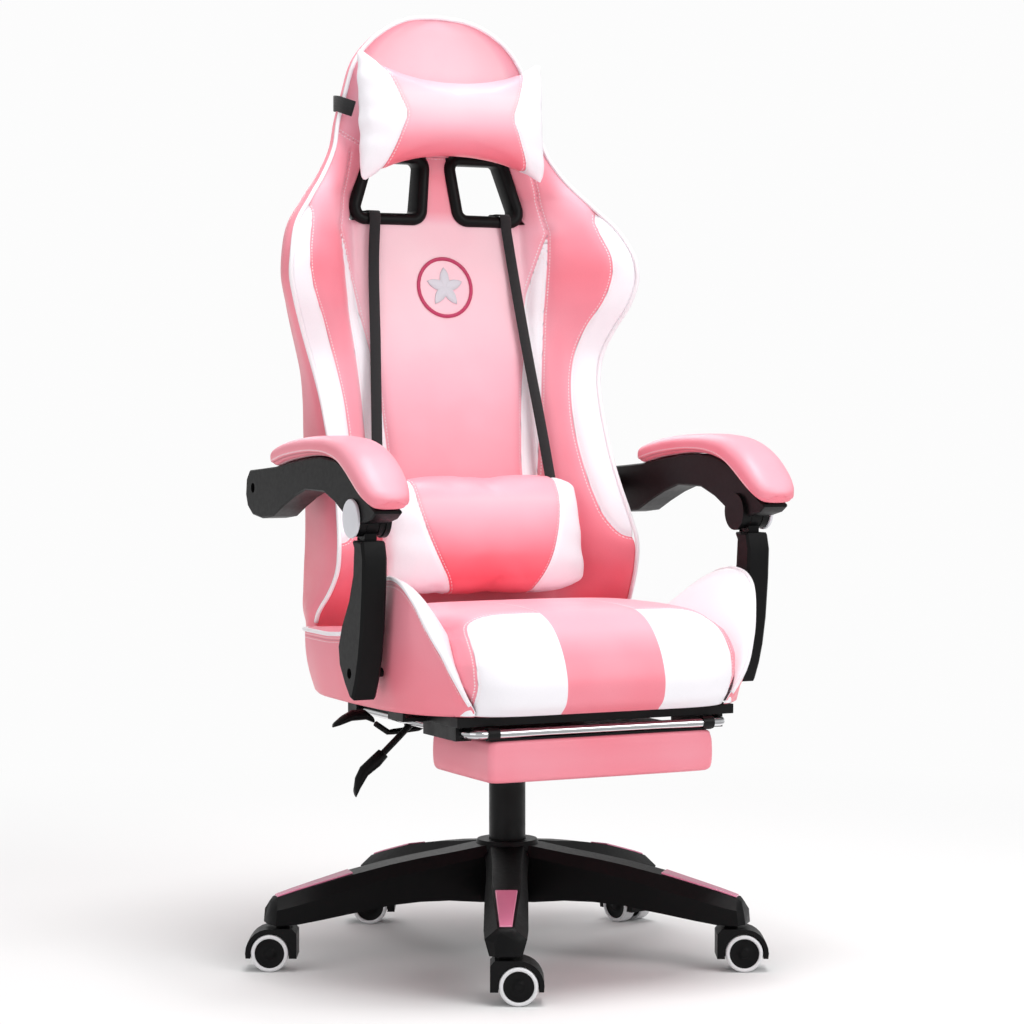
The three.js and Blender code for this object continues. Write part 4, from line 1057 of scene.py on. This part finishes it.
def make_arm_pads():
    stations = hermite([(s[0], s[2], s[1], s[3]) for s in ARM_PAD], 90)
    angle = np.arange(56) * 2 * np.pi / 56
    rows = []
    for y, high, low, half in stations:
        middle, tall = (low + high) / 2, (high - low) / 2
        c, w = np.cos(angle), np.sin(angle)
        x = half * np.sign(c) * np.abs(c) ** 0.72
        z = middle + tall * np.sign(w) * np.abs(w) ** np.where(w > 0, 0.85, 0.55)
        rows.append(np.stack([281 + x, np.full(56, y), z], 1))
    grid = np.array(rows)
    for side, sign in SIDES:
        pad = skin("arm_pad_cover_" + side, grid * [sign, 1, 1], PRINT_AND_PAINTED_LIGHT)
        local = capped(grid)
        level = np.append(np.tile(np.sin(angle), len(rows)), [0, 0])
        # painted highlight and shade: the pad is paler on top and a deeper pink underneath
        set_attribute(pad, "tint", np.interp(level, [-1, 0, 0.5, 1], [0.78, 0.68, 0.52, 0.45]))
        set_attribute(pad, "seam", 8 * np.abs(level + 0.55) + 0.2 + NO_SEAM * (local[:, 1] < -226))
        set_attribute(pad, "run", local[:, 1])
        push(pad, -1.2 * np.exp(-((level + 0.55) / 0.16) ** 2))
        new_piece(pad, "arm_" + side, "pale_leather", "arm_pad_" + side)


def make_footrest():
    low, high, front, rear, half = 277.0, 331.0, -283.0, -105.0, 162.0
    middle, reach, corner = (front + rear) / 2, (rear - front) / 2, 9.0
    rows = []
    for z, inset in ((low, 9), (low + 0.8, 5), (low + 3, 1.8), (low + 8, 0), (low + 20, -0.6),
                     (low + 30, -0.6), (high - 12, 0), (high - 5, 0.6), (high - 1.8, 3), (high - 0.4, 6),
                     (high, 10)):
        ring = []
        for cx, cy, start in ((1, 1, 0), (-1, 1, 90), (-1, -1, 180), (1, -1, 270)):
            centre = np.array([cx * (half - inset - corner), middle + cy * (reach - inset - corner)])
            for k in range(9):
                a = math.radians(start + k * 90 / 8)
                ring.append((*(centre + corner * np.array([math.cos(a), math.sin(a)])), z))
        rows.append(densify(np.array(ring), 16))
    pad = skin("footrest_cushion", np.array(rows), PRINT_AND_PAINTED_LIGHT)
    subdivide(pad)
    points = chair_points(pad)
    # the pink deepens toward the bottom and toward the top edge; toward the top edge it is painted shade
    set_attribute(pad, "tint", np.interp(points[:, 2], [277, 300, 331], [0.7, 0.63, 0.68]))
    across = np.clip(1 - (points[:, 0] / half) ** 4, 0, 1)
    along = np.clip(1 - ((points[:, 1] - middle) / reach) ** 4, 0, 1)
    push(pad, 1.5 * across * along - 1.1 * np.exp(-(((points[:, 2] - high + 7) / 2.2) ** 2)))
    new_piece(pad, "footrest_pad", "pink_leather", "footrest_pad")
    half_bar = np.array([(183, 95, 340), (183, -100, 340), (183, -255, 340), (181, -266, 340),
                         (175, -273, 340), (164, -275, 340), (80, -275, 340), (0, -275, 340)], float)
    bar = curve(np.vstack([half_bar, (half_bar * [-1, 1, 1])[-2::-1]]), 300)
    new_piece(tube("footrest_tube", bar, 6.0, CHROME, 20), "footrest_frame", "chrome", "footrest_bar")


def densify(ring, extra):
    """Adds points on the long straight stretches of a closed ring."""
    out = []
    for a, b in zip(ring, np.roll(ring, -1, axis=0)):
        out.append(a)
        if np.linalg.norm(b - a) > 20:
            out.extend(a + (b - a) * k / extra for k in range(1, extra))
    return np.array(out)


# ---------- casters ----------

def make_wheels():
    """White nylon treads with black faces, turned round each wheel's own axle."""
    for joint in frame["joints"]:
        if not joint["name"].endswith("_roll"):
            continue
        body = joint["child"]
        axis = np.array(joint["axis"], float)
        centre = (np.array(joint["pos_m"], float) - LIFT_AXIS) * 1000
        if body.endswith("_b"):
            axis = -axis
        tread = [(19.8, 9.0), (21.5, 6.6), (23.6, 6.2), (24.8, 8.0), (25.0, 10.0), (25.0, 22.5), (24.6, 24.6),
                 (23.4, 26.2), (21.8, 26.8), (20.2, 26.2), (19.6, 24.8), (19.6, 12.0)]
        ring = hoop(body + "_tread", turned(tread, centre, axis, 56), WHEEL_WHITE)
        new_piece(ring, body, "wheel_grey", body)
        face = [(0.4, 25.6), (5.0, 25.6), (6.2, 25.0), (6.8, 23.6), (12.0, 23.2), (17.6, 24.0), (19.0, 25.0),
                (19.55, 24.4), (19.55, 8.0), (17.5, 6.4), (5.0, 6.4), (4.8, 20.0), (0.4, 20.0)]
        new_piece(skin(body + "_face", turned(face, centre, axis, 44), BLACK), body, "black_plastic")


# ---------- every CAD node that stays ----------

def dress_nodes():
    finish_node("star_base", BLACK, 2.6, 3)
    for k in range(1, 6):
        finish_node(f"leg_trim_{k}", TRIM, 0.8, 2)
        finish_node(f"caster_{k}_fork", BLACK, 1.2, 2)
    finish_node("lift_tube", STEEL, 0.8)
    finish_node("lift_guide_bush", BLACK, 0.5)
    finish_node("piston_rod", CHROME)
    finish_node("lift_cylinder", CHROME, 0.6)
    finish_node("release_pin", ZINC, 0.4)
    for node in ("mechanism_housing", "back_frame"):
        finish_node(node, STEEL, 1.5)
    for node in ("seat_pan", "footrest_hinge", "recline_lever", "height_lever"):
        finish_node(node, STEEL, 0.5)
    finish_node("height_lever_grip", BLACK)
    finish_node("recline_lever_grip", BLACK)
    for side, _ in SIDES:
        finish_node("footrest_rail_" + side, STEEL, 0.8)
        finish_node("arm_stud_" + side, STEEL, 1.2)
        finish_node("arm_upright_" + side, BLACK, 1.6, 3)
        finish_node("arm_body_" + side, BLACK, 1.6, 3)
        finish_node("elbow_cap_" + side, CAP_GREY, 1.4, 3)


# ---------- floor, light and camera ----------

# How bright the white of the backdrop and the far floor is.
BACKDROP = 0.975


def make_floor():
    """Pale floor that melts into the white backdrop well away from the chair."""
    size = 14.0
    corners = [(-size, -size, 0), (size, -size, 0), (size, size, 0), (-size, size, 0)]
    mesh = bpy.data.meshes.new("floor")
    mesh.from_pydata(corners, [], [(0, 1, 2, 3)])
    floor = bpy.data.objects.new("floor", mesh)
    bpy.context.scene.collection.objects.link(floor)
    s = Shader("floor_pale", 0.8, specular=0.0)
    away = s.node("ShaderNodeVectorMath", {"operation": "LENGTH"}, Vector=s.place()).outputs["Value"]
    far = s.ramp(away, 0.9, 2.2)
    near_colour = s.mix(s.noise(0.6, 2.0), (0.78, 0.78, 0.78, 1), (0.8, 0.8, 0.8, 1))
    s.colour(s.mix(far, near_colour, (0, 0, 0, 1)))
    s.surface.inputs["Emission Color"].default_value = (1, 1, 1, 1)
    s.feed(s.surface.inputs["Emission Strength"], s.math("MULTIPLY", far, BACKDROP))
    mesh.materials.append(s.material)


def make_backdrop():
    """White dome that only the camera sees; the world lights the chair."""
    bpy.ops.mesh.primitive_uv_sphere_add(segments=32, ring_count=16, radius=19.0)
    dome = bpy.context.active_object
    dome.name = "backdrop"
    for ray in ("diffuse", "glossy", "transmission", "volume_scatter", "shadow"):
        setattr(dome, "visible_" + ray, False)
    material = bpy.data.materials.new("backdrop_white")
    material.use_nodes = True
    surface = material.node_tree.nodes["Principled BSDF"]
    surface.inputs["Base Color"].default_value = (0, 0, 0, 1)
    surface.inputs["Specular IOR Level"].default_value = 0.0
    surface.inputs["Emission Color"].default_value = (1, 1, 1, 1)
    surface.inputs["Emission Strength"].default_value = BACKDROP
    dome.data.materials.append(material)


def make_lights():
    world = bpy.data.worlds.new("studio")
    bpy.context.scene.world = world
    world.use_nodes = True
    background = world.node_tree.nodes["Background"]
    background.inputs["Color"].default_value = (1, 1, 1, 1)
    background.inputs["Strength"].default_value = 0.5
    middle = (CAD_LOW + CAD_HIGH) / 2
    for name, offset, power, width in (
            ("key", (1.3, -3.0, 1.6), 38, 1.8), ("fill", (-2.8, -1.4, 0.9), 10, 2.4),
            ("top", (0.2, -0.5, 4.4), 165, 1.9), ("rim", (0.8, 2.8, 1.6), 18, 1.6)):
        lamp = bpy.data.lights.new(name, "AREA")
        lamp.energy = power
        lamp.size = width
        obj = bpy.data.objects.new(name, lamp)
        obj.location = middle + Vector(offset)
        obj.rotation_mode = "QUATERNION"
        obj.rotation_quaternion = (middle - obj.location).to_track_quat("-Z", "Y")
        bpy.context.scene.collection.objects.link(obj)
    bpy.context.scene.view_settings.view_transform = "Standard"


def make_camera():
    data = bpy.data.cameras.new("camera")
    data.sensor_width = 36.0
    data.lens = 99.85
    camera = bpy.data.objects.new("camera", data)
    camera.location = Vector((-1.6971, -3.4796, 0.7507)) + Vector(LIFT_AXIS)
    camera.rotation_mode = "QUATERNION"
    camera.rotation_quaternion = Vector((0.43958, 0.89744, -0.03687)).to_track_quat("-Z", "Y")
    bpy.context.scene.collection.objects.link(camera)
    bpy.context.scene.camera = camera


make_camera()
make_floor()
make_backdrop()
make_lights()
dress_nodes()
make_back()
make_bezels()
make_back_piping()
make_emblem()
make_seat()
make_wings()
make_lumbar()
make_head_pillow()
make_straps()
make_arm_pads()
make_footrest()
make_wheels()
